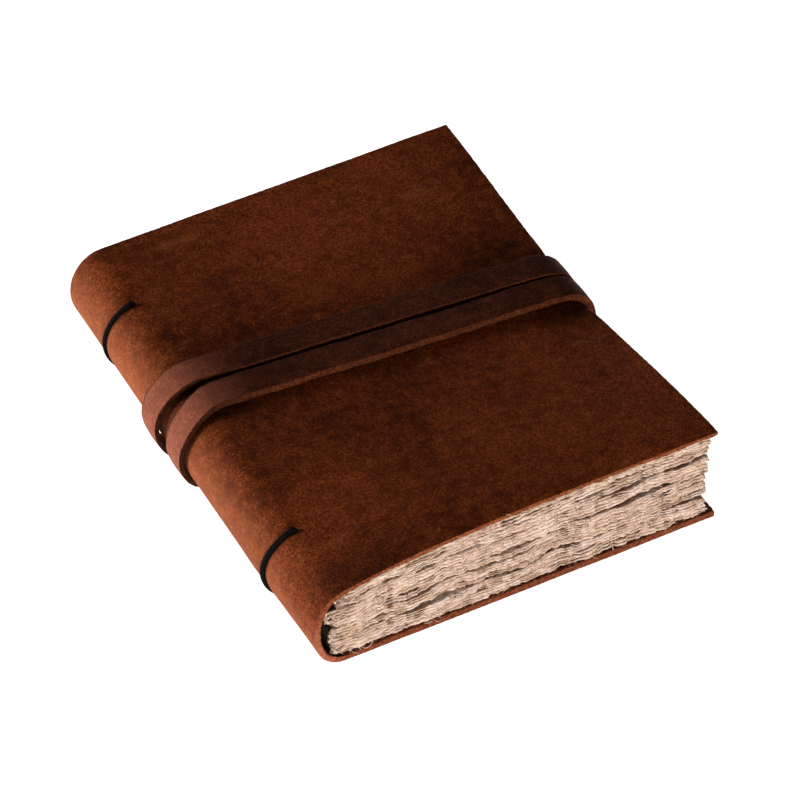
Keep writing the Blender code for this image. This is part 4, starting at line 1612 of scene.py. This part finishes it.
class CordSettings(PropertyGroup):
    """The waxed sewing cords."""

    color: color_property("Colour", "Colour of the cord", (0.0018, 0.0014, 0.0014))
    wax: color_property("Wax", "Colour of the wax on it", (0.0055, 0.0046, 0.0046))
    diameter: length_property("Diameter", "Diameter of the cord", 0.0018, 0.0005)


class ThreadSettings(PropertyGroup):
    """The linen sewing threads."""

    color: color_property("Colour", "Colour of the thread", (0.62, 0.54, 0.42))
    shade: color_property("Shade", "Colour between the thread's plies", (0.40, 0.33, 0.24))


class StageSettings(PropertyGroup):
    """Light and floor."""

    floor_glow: FloatProperty(name="Floor glow", description="Brightness of the floor", default=0.92, min=0.0)
    room_light: FloatProperty(name="Room light", description="Brightness of the room", default=0.03, min=0.0)
    window_power: power_property("Window", "Main light", 11.8)
    front_power: power_property("Front fill", "Front light", 20.5)
    back_power: power_property("Back fill", "Back light", 2.6)


# ---------------------------------------------------------------- operators and panel


class JOURNAL_OT_stage(Operator):
    """Make the floor, the lights and the camera"""

    bl_idname = "journal.stage"
    bl_label = "Stage"

    def execute(self, context):
        make_stage(context.scene.journal_stage)
        return {"FINISHED"}


class JOURNAL_OT_cords(Operator):
    """Make the two sewing cords"""

    bl_idname = "journal.cords"
    bl_label = "Sewing Cords"

    def execute(self, context):
        make_cords(context.scene.journal_cord)
        return {"FINISHED"}


class JOURNAL_OT_cover(Operator):
    """Make the leather cover"""

    bl_idname = "journal.cover"
    bl_label = "Leather Cover"

    def execute(self, context):
        make_cover(context.scene.journal_cover)
        return {"FINISHED"}


class JOURNAL_OT_paper(Operator):
    """Make the folded sheets and their torn edges"""

    bl_idname = "journal.paper"
    bl_label = "Deckle-Edged Sheets"

    def execute(self, context):
        make_paper(context.scene.journal_paper)
        return {"FINISHED"}


class JOURNAL_OT_strap(Operator):
    """Make the wound strap"""

    bl_idname = "journal.strap"
    bl_label = "Wound Strap"

    def execute(self, context):
        make_strap(context.scene.journal_strap)
        return {"FINISHED"}


class JOURNAL_OT_threads(Operator):
    """Finish the sewing threads"""

    bl_idname = "journal.threads"
    bl_label = "Sewing Threads"

    def execute(self, context):
        finish_threads(context.scene.journal_thread)
        return {"FINISHED"}


class JOURNAL_PT_panel(Panel):
    """Sidebar panel that lists the journal's pieces"""

    bl_idname = "JOURNAL_PT_panel"
    bl_label = "Leather Journal"
    bl_space_type = "VIEW_3D"
    bl_region_type = "UI"
    bl_category = "Journal"

    def draw(self, context):
        for operator in OPERATORS:
            self.layout.operator(operator.bl_idname)


SETTINGS = {
    "journal_cover": CoverSettings,
    "journal_strap": StrapSettings,
    "journal_paper": PaperSettings,
    "journal_cord": CordSettings,
    "journal_thread": ThreadSettings,
    "journal_stage": StageSettings,
}
OPERATORS = [
    JOURNAL_OT_stage,
    JOURNAL_OT_cords,
    JOURNAL_OT_cover,
    JOURNAL_OT_paper,
    JOURNAL_OT_strap,
    JOURNAL_OT_threads,
]
CLASSES = [*SETTINGS.values(), *OPERATORS, JOURNAL_PT_panel]


def register():
    """Register the add-on's classes and settings."""
    for cls in CLASSES:
        bpy.utils.register_class(cls)
    for name, group in SETTINGS.items():
        setattr(bpy.types.Scene, name, PointerProperty(type=group))


def unregister():
    """Remove the add-on's classes and settings."""
    for name in SETTINGS:
        delattr(bpy.types.Scene, name)
    for cls in reversed(CLASSES):
        bpy.utils.unregister_class(cls)


def main():
    """Make the whole journal."""
    register()
    bpy.ops.journal.stage()
    bpy.ops.journal.cords()
    bpy.ops.journal.cover()
    bpy.ops.journal.paper()
    bpy.ops.journal.strap()
    bpy.ops.journal.threads()


if __name__ == "__main__":
    main()
